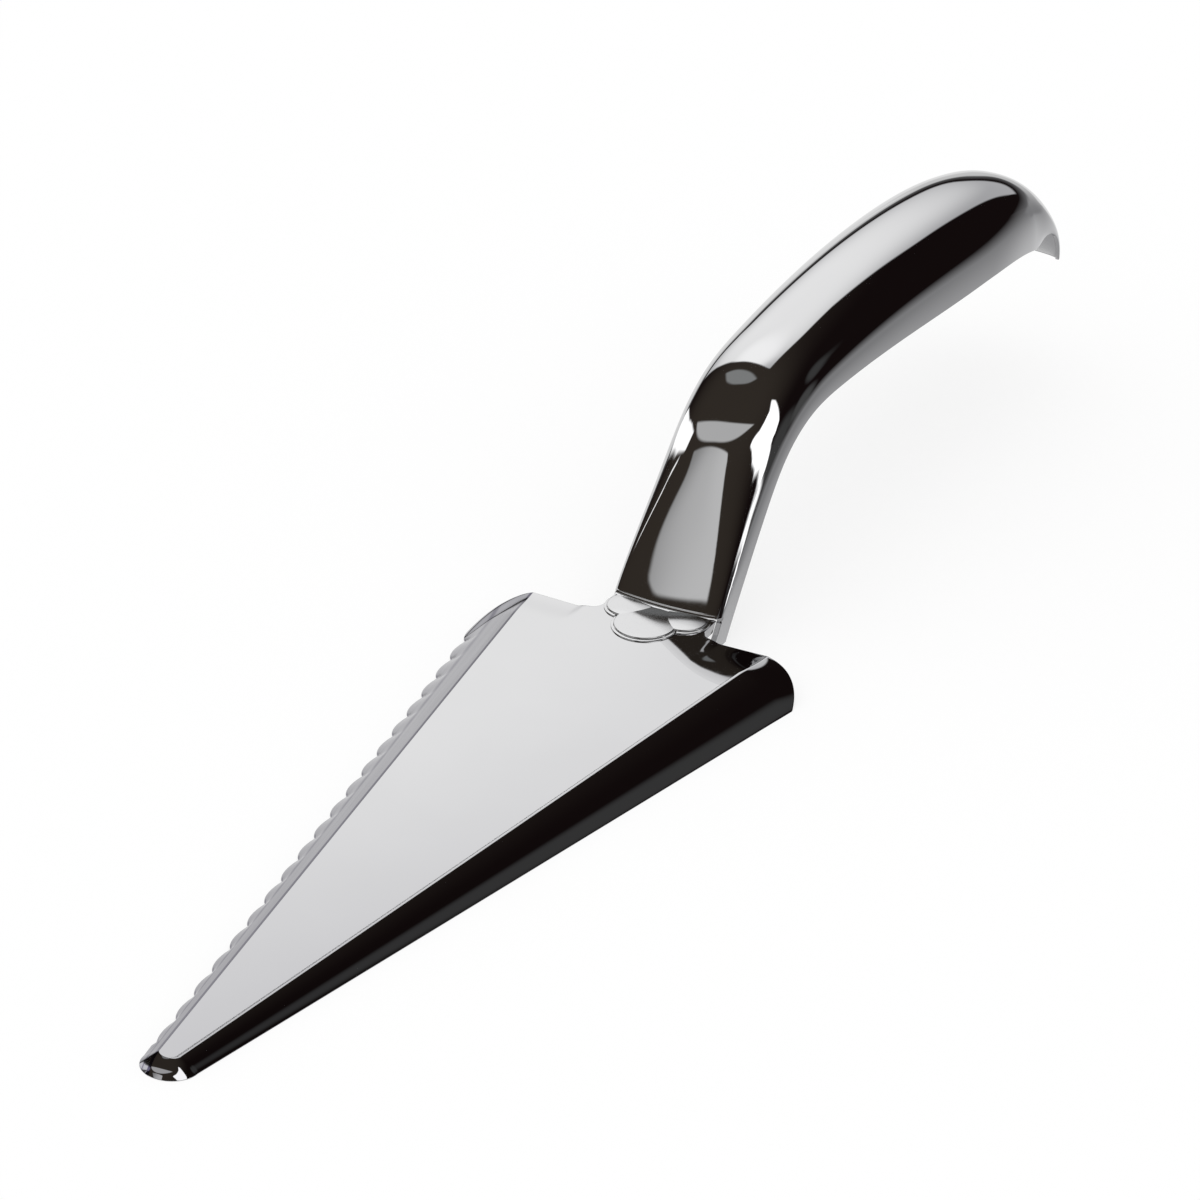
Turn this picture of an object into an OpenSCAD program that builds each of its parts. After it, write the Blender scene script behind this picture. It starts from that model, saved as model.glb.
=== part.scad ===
// Cake server: a wedge blade with rolled walls and one toothed rim, a hollow hooked handle,
// a three-lobed foot plate at the neck's root, a bent strap inside the neck and two flush rivets.
// Lengths are in millimetres. X runs from the blade's tip to the handle's hook,
// Y points to the toothed side and Z points up from the table that the rims rest on.

/* [Blade] */
// Length of the flat from its tip corners to its rear corners
flat_length = 127; // [119:0.5:135]
// Width of the flat between its tip corners
tip_width = 3; // [2.4:0.1:3.6]
// Width of the flat between its rear corners
rear_width = 39.6; // [36:0.2:43]
// How far the flat's round tip runs ahead of the tip corners
tip_bulge = 1; // [0.6:0.1:1.4]
// Sideways reach of a rolled wall at the tip
wall_reach_tip = 2.7; // [2.4:0.1:3.1]
// Sideways reach of a rolled wall at the rear corners
wall_reach_rear = 8.2; // [7.4:0.1:9]
// Drop of a rolled wall at the tip
wall_drop_tip = 1.9; // [1.8:0.02:2.1]
// Drop of a rolled wall at the rear corners
wall_drop_rear = 4.95; // [4.6:0.05:5.4]
// Half of the angle that a wall turns through from crease to rim
wall_bow = 15; // [10:1:17]
// Thickness of the flat
blade_sheet = 1.6; // [1.4:0.05:1.65]
// Thickness that a wall is thinned to at its rim
rim_sheet = 0.8; // [0.6:0.05:0.9]
// Length of the zone ahead of the rear edge in which the corners are shaped
rear_zone = 14; // [12:0.5:16]
// How far forward the low rear corner of the toothed wall is swept
toothed_sweep = 8.5; // [6:0.5:10]
// How far forward the low rear corner of the plain wall is swept
plain_sweep = 5.8; // [4.8:0.1:6.8]
// Drop of the rolled rear edge
rear_roll = 0.4; // [0.2:0.1:0.7]
// Length over which the rear edge rolls down
rear_roll_run = 7; // [5:0.5:9]
// How far the rear edge runs forward from its corners to the tongue's root
rear_tuck = 0.3; // [0.1:0.1:0.6]

/* [Teeth] */
// Number of scale-shaped teeth on the toothed rim
tooth_count = 20; // [14:1:20]
// Spacing of the teeth along the rim
tooth_pitch = 6.02; // [5.6:0.02:6.02]
// Depth of the valleys between teeth
tooth_depth = 1; // [0.6:0.05:1.2]
// Distance behind the tip corners at which the first valley lies
tooth_start = 2.45; // [2:0.05:3.5]

/* [Tongue and foot plate] */
// Width of the tongue behind the flat
tongue_width = 17.2; // [16.8:0.1:17.6]
// Radius of the inside corners between tongue and rear edge
tongue_fillet = 2; // [1.2:0.1:2.6]
// Width of the band in which the rear edge rises to the tongue
root_blend = 1.5; // [1:0.25:3]
// Depth of the seat that takes the foot plate and the neck
seat_depth = 0.2; // [0.1:0.05:0.3]
// Radius of the middle petal
petal_radius = 4.7; // [4.2:0.1:4.8]
// Radius of each side petal
side_petal_radius = 3.4; // [3:0.1:3.5]
// Distance of the side petals' centres from the middle plane
side_petal_offset = 4.7; // [4.4:0.1:4.8]
// Distance of the middle petal's centre ahead of the neck seam
petal_lead = 5.4; // [5:0.1:6]
// Distance of the side petals' centres ahead of the neck seam
side_petal_lead = 1.7; // [1.4:0.1:2.2]
// Width of the step around the petals
petal_border = 0.45; // [0.3:0.05:0.5]
// Height of the step around the petals
border_height = 0.4; // [0.3:0.05:0.6]
// Height of a petal's edge
petal_edge_height = 0.65; // [0.55:0.05:0.7]
// Height of a petal's middle
petal_crown_height = 0.9; // [0.8:0.05:1.1]

/* [Handle] */
// Distance from the flat's rear corners to the neck seam
seam_setback = 4.14; // [3.8:0.02:4.6]
// Slope of the straight neck
neck_angle = 51.4; // [46:0.2:56]
// Length of the straight neck
neck_run = 23.95; // [20:0.05:28]
// Radius of the bend from neck to grip
bend_radius = 30.2; // [24:0.1:36]
// Slope of the grip behind the bend
grip_start_angle = 8.2; // [5:0.2:11]
// Radius of the grip's long arch
grip_radius = 240; // [200:5:280]
// Slope at the end of the grip's arch
grip_end_angle = -6.8; // [-9:0.2:-5]
// Radius of the shoulder before the hook
shoulder_radius = 79.2; // [60:0.2:100]
// Slope at the end of the shoulder
shoulder_end_angle = -18.1; // [-22:0.1:-14]
// Radius of the hook
curl_radius = 15.7; // [13:0.1:18]
// Slope of the hook's lip
lip_angle = -98.5; // [-102:0.5:-94]
// Outside width of the neck
neck_width = 18.3; // [18:0.1:19]
// Outside width of the grip
grip_width = 24.1; // [22:0.1:26]
// Outside width of the lip
end_width = 19.7; // [18:0.1:21]
// Depth of the neck's side walls
neck_depth = 5; // [4.4:0.05:5.6]
// Depth of the grip's side walls
grip_depth = 10.86; // [9.5:0.02:12]
// Depth of the lip's side rims
lip_depth = 2.8; // [2.2:0.1:3.4]
// Thickness of the handle's sheet
handle_sheet = 0.65; // [0.55:0.05:0.8]
// Drop of the neck's side walls below the flat
neck_skirt = 4.5; // [3.8:0.1:4.7]
// Squareness of the neck's section, where two is an ellipse
neck_squareness = 14; // [11:0.5:16]
// Sag of the neck's front wall from its middle to its corners
neck_crown = 0.75; // [0.6:0.05:0.9]
// Distance of the neck's skirts behind its front wall
skirt_setback = 0.95; // [0.85:0.05:1.2]
// Squareness of the grip's section, where two is an ellipse
grip_squareness = 2.2; // [2:0.05:2.6]

/* [Strap and rivets] */
// Thickness of the strap
strap_sheet = 1.2; // [0.8:0.1:1.3]
// Width of the strap
strap_width = 8; // [6.5:0.25:8]
// Length of the strap's lower leg ahead of its bend
strap_reach = 11.2; // [10.4:0.2:13]
// Length of the strap's upper leg inside the neck
strap_rise = 18; // [12:0.5:20]
// Gap for braze between the strap and the neck's front wall
braze_gap = 0.1; // [0.08:0.01:0.2]
// Radius of a rivet's shank
rivet_radius = 1.1; // [0.9:0.05:1.2]
// Radius of a rivet's heads
rivet_head_radius = 1.9; // [1.6:0.05:2]
// Depth of a rivet's sunk head
rivet_head_depth = 0.7; // [0.5:0.05:0.8]
// Height of a rivet's round lower head
rivet_dome = 0.8; // [0.6:0.05:0.9]
// Distance between the two rivets
rivet_spacing = 4.8; // [4.4:0.1:5]
// Number of rivets
rivet_count = 2; // [2:1:2]
// Clearance around each shank
rivet_clearance = 0.04; // [0.02:0.01:0.08]

/* [Hidden] */
// Facets of true circles
$fn = 64;
// Facets of a petal's wide cushion
cushion_facets = 360;
// Steps round half of the nose
nose_steps = 8;
// Steps along each wall ahead of the rear zone
side_steps = 12;
// Steps along the rear zone
rear_steps = 8;
// Steps across a wall
wall_steps = 9;
// Steps round an inside corner of the tongue
fillet_steps = 6;
// Steps along the handle
handle_steps = 76;
// Steps across the handle
section_steps = 20;
// Steps round the strap's bend
bend_steps = 8;
// Overrun of every cut
overrun = 4;
// Power by which the toothed corner's sweep grows from crease to rim
toothed_power = 1.6;
// Power by which the plain corner's sweep grows from crease to rim
plain_power = 2.4;
// Share of the handle's length at which it starts to widen
widen_share = 0.133;
// Share of the handle's length at which it is widest
widest_share = 0.69;
// Share of the handle's length at which it starts to deepen
deepen_share = 0.07;
// Share of the handle's length at which it is deepest
deepest_share = 0.655;
// Share of the handle's length at which it starts to get shallow
shallow_share = 0.84;
// Share of the handle's length by which the neck's squareness is gone
round_share = 0.2;

half_tip = tip_width / 2;
half_rear = rear_width / 2;
half_tongue = tongue_width / 2;
half_root = half_tongue + tongue_fillet;
side_spread = (half_rear - half_tip) / flat_length;
reach_spread = (wall_reach_rear - wall_reach_tip) / flat_length;
drop_spread = (wall_drop_rear - wall_drop_tip) / flat_length;
rest_tilt = atan(drop_spread);
zone_start = flat_length - rear_zone;
seam_x = flat_length + seam_setback;
root_x = flat_length - rear_tuck;

// Smooth step from zero to one
function ease(t) = let (c = max(0, min(1, t))) c * c * (3 - 2 * c);
function mix(a, b, t) = a + (b - a) * t;

// Half width of the flat, reach and drop of its walls, and roll of its rear edge, at distance x from the tip
function flat_half(x) = half_tip + side_spread * x;
function reach_at(x) = wall_reach_tip + reach_spread * x;
function drop_at(x) = wall_drop_tip + drop_spread * x;
function roll_at(x) = rear_roll * ease((x - flat_length + rear_roll_run) / rear_roll_run);

// A wall is an arc from crease to rim: its chord slopes by atan(drop / reach) and it turns by twice the bow
function chord_slope(reach, drop) = atan(drop / reach);
function wall_radius(reach, drop) = norm([reach, drop]) / (2 * sin(wall_bow));
function arc_point(radius, start, slope) =
  [radius * (sin(slope) - sin(start)), radius * (cos(start) - cos(slope))];
function outer_wall(reach, drop, share) =
  let (start = chord_slope(reach, drop) - wall_bow)
  arc_point(wall_radius(reach, drop), start, start + 2 * wall_bow * share);
// The inside follows the same arc's centre, thinned towards the rim and cut level with it
function inner_wall(reach, drop, share) =
  let (start = chord_slope(reach, drop) - wall_bow)
  let (radius = wall_radius(reach, drop))
  let (last = acos(radius * cos(start + 2 * wall_bow) / (radius - rim_sheet)))
  let (slope = mix(start, last, share))
  let (inside = radius - mix(blade_sheet, rim_sheet, share))
  share == 0
    ? [-blade_sheet * tan(start / 2), blade_sheet]
    : [inside * sin(slope) - radius * sin(start), radius * cos(start) - inside * cos(slope)];

// Stations count outwards from the nose's front: first round the nose, then along a side, then the rear zone
side_start = nose_steps + side_steps;
half_steps = side_start + rear_steps;
function station_x(j) =
  j <= side_start
    ? zone_start * (j - nose_steps) / side_steps
    : zone_start + rear_zone * (j - side_start) / rear_steps;
function swept_x(j, side, share) =
  let (x = station_x(j))
  let (sweep = side > 0 ? toothed_sweep : plain_sweep)
  let (power = side > 0 ? toothed_power : plain_power)
  x - sweep * pow(share, power) * ease((x - zone_start) / rear_zone);

function wall_profile(inside, reach, drop, share) =
  inside ? inner_wall(reach, drop, share) : outer_wall(reach, drop, share);

// A point of the nose's wall, which turns from facing ahead to facing sideways
function nose_point(j, side, share, inside) =
  let (turn = 90 * j / nose_steps)
  let (front = -tip_bulge * cos(turn) - wall_reach_tip * cos(turn))
  let (p = wall_profile(inside, wall_reach_tip, drop_at(front), share))
  [-(tip_bulge + p[0]) * cos(turn), side * (half_tip + p[0]) * sin(turn), -p[1]];

// A point of a side wall
function side_point(j, side, share, inside) =
  let (x = swept_x(j, side, share))
  let (p = wall_profile(inside, reach_at(x), drop_at(x) - roll_at(x), share))
  [x, side * (flat_half(x) + p[0]), -roll_at(x) - p[1]];

function wall_point(j, side, share, inside) =
  j < nose_steps ? nose_point(j, side, share, inside) : side_point(j, side, share, inside);

// The rear zone has four more lines between the creases: two at the tongue's root and two where the roll ends
root_lines = [half_root + root_blend, half_root, -half_root, -half_root - root_blend];
function root_point(i, c, inside) =
  let (x = zone_start + rear_zone * i / rear_steps)
  let (y = root_lines[c])
  let (tuck = rear_tuck * i / rear_steps * (half_rear - abs(y)) / (half_rear - half_root))
  let (fall = abs(y) > half_root ? roll_at(x) : 0)
  [x - tuck, y, -fall - (inside ? blade_sheet : 0)];

// The tongue narrows through an inside corner and ends on the slope of the neck's front wall
tongue_end = seam_x + handle_sheet / sin(neck_angle);
function tongue_point(f, side, inside) =
  let (turn = 90 * min(f, fillet_steps) / fillet_steps)
  let (x = root_x + tongue_fillet * (1 - cos(turn)))
  let (y = half_root - tongue_fillet * sin(turn))
  let (slope_back = inside ? blade_sheet / tan(neck_angle) : 0)
  f > fillet_steps
    ? [tongue_end - slope_back, side * half_tongue, inside ? -blade_sheet : 0]
    : [x, side * y, inside ? -blade_sheet : 0];
tongue_rows = fillet_steps + 1;

// Point numbers of one skin of the blade
path_last = 2 * half_steps;
ring = wall_steps + 1;
wall_count = (path_last + 1) * ring;
root_count = (rear_steps + 1) * len(root_lines);
skin_count = wall_count + root_count + 2 * tongue_rows;
function wall_id(p, k) = p * ring + k;
function root_id(i, c) = wall_count + i * len(root_lines) + c;
function tongue_id(f, c) = wall_count + root_count + 2 * (f - 1) + c;

function blade_skin(inside) = concat(
  [for (p = [0:path_last]) for (k = [0:wall_steps])
    wall_point(abs(p - half_steps), p < half_steps ? 1 : -1, k / wall_steps, inside)],
  [for (i = [0:rear_steps]) for (c = [0:len(root_lines) - 1]) root_point(i, c, inside)],
  [for (f = [1:tongue_rows]) for (side = [1, -1]) tongue_point(f, side, inside)]
);

// The line of crease and root points across the flat at step i of the rear zone, from the toothed side
function zone_row(i) = concat(
  [wall_id(rear_steps - i, 0)],
  [for (c = [0:len(root_lines) - 1]) root_id(i, c)],
  [wall_id(path_last - rear_steps + i, 0)]
);
function tongue_row(f) =
  f == 0 ? [root_id(rear_steps, 1), root_id(rear_steps, 2)] : [tongue_id(f, 0), tongue_id(f, 1)];

function skin_faces() = concat(
  [for (p = [0:path_last - 1]) for (k = [0:wall_steps - 1])
    [wall_id(p, k), wall_id(p, k + 1), wall_id(p + 1, k + 1), wall_id(p + 1, k)]],
  [[wall_id(half_steps, 0), wall_id(half_steps + 1, 0), wall_id(half_steps - 1, 0)]],
  [for (j = [1:side_start - 2])
    [wall_id(half_steps - j, 0), wall_id(half_steps + j, 0),
     wall_id(half_steps + j + 1, 0), wall_id(half_steps - j - 1, 0)]],
  let (a = wall_id(half_steps - side_start + 1, 0), b = wall_id(half_steps + side_start - 1, 0))
    let (row = concat([b], reversed(zone_row(0))))
    [for (c = [0:len(row) - 2]) [a, row[c], row[c + 1]]],
  [for (i = [0:rear_steps - 1]) let (a = zone_row(i), b = zone_row(i + 1))
    for (c = [0:len(a) - 2]) [a[c], a[c + 1], b[c + 1], b[c]]],
  [for (f = [0:tongue_rows - 1]) let (a = tongue_row(f), b = tongue_row(f + 1))
    [a[0], a[1], b[1], b[0]]]
);

// The open border of a skin: along the rear from the toothed rim, then forward along both rims
rear_border = concat(
  [for (k = [wall_steps:-1:0]) wall_id(0, k)],
  [root_id(rear_steps, 0), root_id(rear_steps, 1)],
  [for (f = [1:tongue_rows]) tongue_id(f, 0)],
  [for (f = [tongue_rows:-1:1]) tongue_id(f, 1)],
  [root_id(rear_steps, 2), root_id(rear_steps, 3)],
  [for (k = [0:wall_steps]) wall_id(path_last, k)],
  [for (p = [path_last - 1:-1:1]) wall_id(p, wall_steps)]
);
function reversed(face) = [for (i = [len(face) - 1:-1:0]) face[i]];
function lifted(face) = [for (i = face) i + skin_count];

module blade_sheet_body() {
  faces = skin_faces();
  edge = rear_border;
  turns = len(edge);
  polyhedron(
    points = concat(blade_skin(false), blade_skin(true)),
    faces = concat(
      [for (face = faces) reversed(face)],
      [for (face = faces) lifted(face)],
      [for (i = [0:turns - 1]) let (a = edge[i], b = edge[(i + 1) % turns])
        [a, a + skin_count, b + skin_count, b]]
    ),
    convexity = 8
  );
}

// The rim line of the toothed wall, and the tool that leaves round scales along it
rim_yaw = atan(side_spread + reach_spread);
rim_pitch = atan(drop_spread * cos(rim_yaw));
rim_reach = reach_at(tooth_start);
rim_slope = chord_slope(rim_reach, drop_at(tooth_start)) + wall_bow;
tooth_radius = (tooth_pitch * tooth_pitch / 4 + tooth_depth * tooth_depth) / (2 * tooth_depth);
module teeth_tool() {
  translate([tooth_start, flat_half(tooth_start) + rim_reach, -drop_at(tooth_start)])
    rotate([-rim_slope, rim_pitch, rim_yaw])
      translate([0, 0, -overrun])
        linear_extrude(2 * overrun)
          difference() {
            translate([0, -tooth_depth])
              square([tooth_count * tooth_pitch, tooth_depth + overrun]);
            for (i = [0:tooth_count - 1])
              translate([(i + 1 / 2) * tooth_pitch, -tooth_radius])
                circle(tooth_radius);
          }
}

// The seat takes the petals' step and the whole tongue behind the side petals
module petal_spots(grow) {
  translate([seam_x - petal_lead, 0])
    circle(petal_radius + grow);
  for (side = [1, -1])
    translate([seam_x - side_petal_lead, side * side_petal_offset])
      circle(side_petal_radius + grow);
}
module seat_outline() {
  petal_spots(petal_border + rivet_clearance);
  translate([seam_x - side_petal_lead, -half_root])
    square([side_petal_lead + overrun, 2 * half_root]);
}

function rivet_x(i) = seam_x - petal_lead + (i - (rivet_count - 1) / 2) * rivet_spacing;
rivet_top = -seat_depth;
module rivet_sink(grow) {
  translate([0, 0, rivet_top - rivet_head_depth])
    cylinder(r1 = rivet_radius + grow, r2 = rivet_head_radius, h = rivet_head_depth);
}
module rivet_bores(depth) {
  for (i = [0:rivet_count - 1])
    translate([rivet_x(i), 0, -depth])
      cylinder(r = rivet_radius + rivet_clearance, h = depth);
}

// Every piece is drawn with the flat level, then set down on its rims and centred over the origin
function turned_x(p) = p[0] * cos(rest_tilt) - p[1] * sin(rest_tilt);
nose_front = turned_x([-tip_bulge - wall_reach_tip, -drop_at(-tip_bulge - wall_reach_tip)]);
module set_down() {
  translate([-(nose_front + hook_back) / 2, 0, wall_drop_tip * cos(rest_tilt)])
    rotate([0, -rest_tilt, 0])
      children();
}

module blade() {
  color([0.82, 0.82, 0.84])
    set_down()
      difference() {
        blade_sheet_body();
        teeth_tool();
        translate([0, 0, -seat_depth])
          linear_extrude(seat_depth + overrun)
            seat_outline();
        for (i = [0:rivet_count - 1])
          translate([rivet_x(i), 0, 0])
            rivet_sink(rivet_clearance);
        rivet_bores(blade_sheet + overrun);
      }
}

// The handle's crown line: a straight neck and four arcs, each given by its radius and its end slopes
slopes = [neck_angle, grip_start_angle, grip_end_angle, shoulder_end_angle, lip_angle];
radii = [bend_radius, grip_radius, shoulder_radius, curl_radius];
function arc_run(i) = radii[i] * (slopes[i] - slopes[i + 1]) * PI / 180;
function arc_step(i) = radii[i] * [sin(slopes[i]) - sin(slopes[i + 1]), cos(slopes[i + 1]) - cos(slopes[i])];
function run_before(i) = i == 0 ? neck_run : run_before(i - 1) + arc_run(i - 1);
function place_before(i) =
  i == 0
    ? [seam_x, 0] + neck_run * [cos(neck_angle), sin(neck_angle)]
    : place_before(i - 1) + arc_step(i - 1);
crown_length = run_before(len(radii));
function arc_at(s, i = 0) = i == len(radii) - 1 || s <= run_before(i + 1) ? i : arc_at(s, i + 1);
function crown_slope(s) =
  s <= neck_run ? neck_angle : let (i = arc_at(s)) slopes[i] - (s - run_before(i)) / radii[i] * 180 / PI;
function crown_place(s) =
  s <= neck_run
    ? [seam_x, 0] + s * [cos(neck_angle), sin(neck_angle)]
    : let (i = arc_at(s), slope = crown_slope(s))
      place_before(i) + radii[i] * [sin(slopes[i]) - sin(slope), cos(slope) - cos(slopes[i])];

// The hook's furthest point once the server is set down
hook_centre = place_before(len(radii)) - curl_radius * [-sin(lip_angle), cos(lip_angle)];
hook_back = turned_x(hook_centre) + curl_radius;

// Half width, depth and squareness of the open section along the handle
function handle_half(share) =
  share < widest_share
    ? mix(neck_width, grip_width, ease((share - widen_share) / (widest_share - widen_share))) / 2
    : mix(grip_width, end_width, ease((share - widest_share) / (1 - widest_share))) / 2;
function handle_depth(share) =
  share < shallow_share
    ? mix(neck_depth, grip_depth, ease((share - deepen_share) / (deepest_share - deepen_share)))
    : mix(grip_depth, lip_depth, ease((share - shallow_share) / (1 - shallow_share)));
function squareness(share) = 1 / mix(1 / neck_squareness, 1 / grip_squareness, ease(share / round_share));
function face_sag(share) = neck_crown * (1 - ease(share / round_share));

// One point of the section: a superellipse in polar form, out along Y and down from the crown line,
// with a front that sags by the square of its distance from the middle
function section_point(share, turn, inside) =
  let (thin = inside ? handle_sheet : 0)
  let (power = squareness(share))
  let (radius = pow(pow(abs(sin(turn)), power) + pow(abs(cos(turn)), power), -1 / power))
  let (wide = radius * sin(turn))
  let (high = radius * abs(cos(turn)))
  let (sag = face_sag(share) * wide * wide * high)
  [(handle_half(share) - thin) * wide, thin + (handle_depth(share) - thin) * (1 - high) + sag];
function handle_point(s, turn, inside) =
  let (p = section_point(s / crown_length, turn, inside))
  let (c = crown_place(s), slope = crown_slope(s))
  [c[0] + p[1] * sin(slope), p[0], c[1] - p[1] * cos(slope)];

neck_foot = (neck_skirt + overrun) / sin(neck_angle);
function section_turn(k) = -90 + 180 * k / section_steps;
function section_ring(s) = concat(
  [for (k = [0:section_steps]) handle_point(s, section_turn(k), false)],
  [for (k = [section_steps:-1:0]) handle_point(s, section_turn(k), true)]
);
ring_size = 2 * (section_steps + 1);
function cap_faces(first) =
  [for (k = [0:section_steps - 1])
    [first + k, first + k + 1, first + ring_size - 2 - k, first + ring_size - 1 - k]];

module handle_sweep() {
  polyhedron(
    points = [for (i = [0:handle_steps])
      each section_ring(mix(-neck_foot, crown_length, i / handle_steps))],
    faces = concat(
      [for (face = cap_faces(0)) reversed(face)],
      cap_faces(handle_steps * ring_size),
      [for (i = [0:handle_steps - 1]) for (k = [0:ring_size - 1])
        let (a = i * ring_size, b = a + ring_size, n = (k + 1) % ring_size)
        [a + k, a + n, b + n, b + k]]
    ),
    convexity = 8
  );
}

// The front wall stops on the seat, and the side walls run on below it as skirts behind the tongue's sloped end
neck_reach = 2 * overrun + seam_setback;
skirt_front = tongue_end + skirt_setback / sin(neck_angle);
module neck_trim() {
  rotate([90, 0, 0])
    translate([0, 0, -neck_width])
      linear_extrude(2 * neck_width)
        polygon([
          [tongue_end - neck_reach, -seat_depth],
          [skirt_front - seat_depth / tan(neck_angle), -seat_depth],
          [skirt_front - neck_skirt / tan(neck_angle), -neck_skirt],
          [skirt_front + neck_reach, -neck_skirt],
          [skirt_front + neck_reach, -neck_skirt - 2 * neck_reach],
          [tongue_end - neck_reach, -neck_skirt - 2 * neck_reach]
        ]);
}

module handle_shell() {
  color([0.78, 0.78, 0.8])
    set_down()
      difference() {
        handle_sweep();
        neck_trim();
      }
}

// A petal is a disc with a cushioned top
module petal(radius) {
  rise = petal_crown_height - petal_edge_height;
  cushion = (radius * radius + rise * rise) / (2 * rise);
  intersection() {
    cylinder(r = radius, h = petal_crown_height);
    translate([0, 0, petal_crown_height - cushion])
      sphere(cushion, $fn = cushion_facets);
  }
}

// The seam in plan: the neck's outside section where it meets the seat, with the braze gap ahead of it
seam_front = seam_x - (seat_depth + braze_gap) / tan(neck_angle);
function seam_point(k) =
  let (p = section_point(0, section_turn(k), false))
  [seam_front + p[1] / sin(neck_angle), p[0]];
module seam_clear() {
  polygon([for (k = [0:section_steps]) seam_point(k)]);
  translate([tongue_end, -neck_width])
    square([neck_reach, 2 * neck_width]);
}

module scallop_foot() {
  color([0.86, 0.86, 0.87])
    set_down()
      translate([0, 0, -seat_depth])
        difference() {
          union() {
            linear_extrude(border_height)
              petal_spots(petal_border);
            translate([seam_x - petal_lead, 0, 0])
              petal(petal_radius);
            for (side = [1, -1])
              translate([seam_x - side_petal_lead, side * side_petal_offset, 0])
                petal(side_petal_radius);
          }
          translate([0, 0, -overrun])
            linear_extrude(petal_crown_height + 2 * overrun)
              seam_clear();
        }
}

// The strap: a lower leg under the tongue, a bend round the tongue's lower edge, an upper leg in the neck
// It clears the sag of the front wall at its own edges
strap_gap = braze_gap + neck_crown * pow(strap_width / (neck_width - 2 * handle_sheet), 2);
strap_corner = tongue_end - blade_sheet / tan(neck_angle) + strap_gap / sin(neck_angle);
function strap_arc(turn) = [strap_corner, -blade_sheet] + strap_sheet * [sin(turn), -cos(turn)];
strap_top = strap_rise * [cos(neck_angle), sin(neck_angle)];
module tang() {
  color([0.7, 0.7, 0.7])
    set_down()
      difference() {
        rotate([90, 0, 0])
          translate([0, 0, -strap_width / 2])
            linear_extrude(strap_width)
              polygon(concat(
                [[strap_corner - strap_reach, -blade_sheet], [strap_corner, -blade_sheet]],
                [[strap_corner, -blade_sheet] + strap_top, strap_arc(neck_angle) + strap_top],
                [for (i = [bend_steps:-1:0]) strap_arc(neck_angle * i / bend_steps)],
                [[strap_corner - strap_reach, -blade_sheet - strap_sheet]]
              ));
        rivet_bores(blade_sheet + strap_sheet + overrun);
      }
}

// A rivet: a sunk head flush with the seat, a shank and a round head under the strap
rivet_foot = -blade_sheet - strap_sheet;
module rivets() {
  cap_radius = (rivet_head_radius * rivet_head_radius + rivet_dome * rivet_dome) / (2 * rivet_dome);
  color([0.75, 0.75, 0.75])
    set_down()
      for (i = [0:rivet_count - 1])
        translate([rivet_x(i), 0, 0]) {
          rivet_sink(0);
          translate([0, 0, rivet_foot])
            cylinder(r = rivet_radius, h = rivet_top - rivet_head_depth - rivet_foot);
          intersection() {
            translate([0, 0, rivet_foot - rivet_dome + cap_radius])
              sphere(cap_radius);
            translate([0, 0, rivet_foot - rivet_dome])
              cylinder(r = rivet_head_radius, h = rivet_dome);
          }
        }
}

blade();
handle_shell();
scallop_foot();
tang();
rivets();
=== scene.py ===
# %% [markdown]
# # A polished cake server
# The server is a mirror: nearly all that the eye sees on it is a reflection. Three things decide its look:
# smooth surfaces, a finish with hardly any roughness, and a studio with bright and dark sides around it.
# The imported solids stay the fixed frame. The blade, the handle and the foot plate are worked out again from
# the same sizes as fine smooth skins, because the flat facets of a solid's mesh would break every reflection.

import bmesh
import bpy
import numpy as np
from mathutils import Matrix


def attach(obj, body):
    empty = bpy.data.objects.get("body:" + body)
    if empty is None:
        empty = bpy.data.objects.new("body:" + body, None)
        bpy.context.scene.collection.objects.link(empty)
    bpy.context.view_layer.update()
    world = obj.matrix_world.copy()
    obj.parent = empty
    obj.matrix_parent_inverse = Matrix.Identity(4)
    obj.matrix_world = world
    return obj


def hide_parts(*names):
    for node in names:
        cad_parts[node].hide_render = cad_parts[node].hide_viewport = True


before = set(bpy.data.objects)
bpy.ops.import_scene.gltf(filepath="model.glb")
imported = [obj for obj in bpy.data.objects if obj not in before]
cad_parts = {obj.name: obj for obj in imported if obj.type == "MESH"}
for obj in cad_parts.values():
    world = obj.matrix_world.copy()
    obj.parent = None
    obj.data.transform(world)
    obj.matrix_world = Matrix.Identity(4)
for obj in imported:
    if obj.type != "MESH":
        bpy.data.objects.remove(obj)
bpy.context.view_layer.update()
print("nodes in the frame:", sorted(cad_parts))

# %% [markdown]
# ## Sizes of the blade
# All lengths are in millimetres, in the blade's own frame: X runs back from the tip corners of the flat, Y points to
# the toothed side, and the flat's top is at Z = 0. One function sets every finished point down on the table.
# Keeping the drawing frame apart from the table makes each formula short, because the flat is then truly level.

# %% Blade sizes
mm_per_metre = 1000.0
flat_length, tip_width, rear_width, tip_bulge = 127.0, 3.0, 39.6, 1.0
wall_reach_tip, wall_reach_rear = 2.7, 8.2
wall_drop_tip, wall_drop_rear = 1.9, 4.95
wall_bow = np.radians(15.0)
blade_sheet, rim_sheet = 1.6, 0.8
rear_zone, rear_roll, rear_roll_run, rear_tuck = 14.0, 0.4, 7.0, 0.3
toothed_sweep, plain_sweep = 8.5, 5.8
toothed_power, plain_power = 1.6, 2.4
tooth_count, tooth_pitch, tooth_depth, tooth_start = 20, 6.02, 1.0, 2.45
tongue_width, tongue_fillet, root_blend = 17.2, 2.0, 1.5

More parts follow.
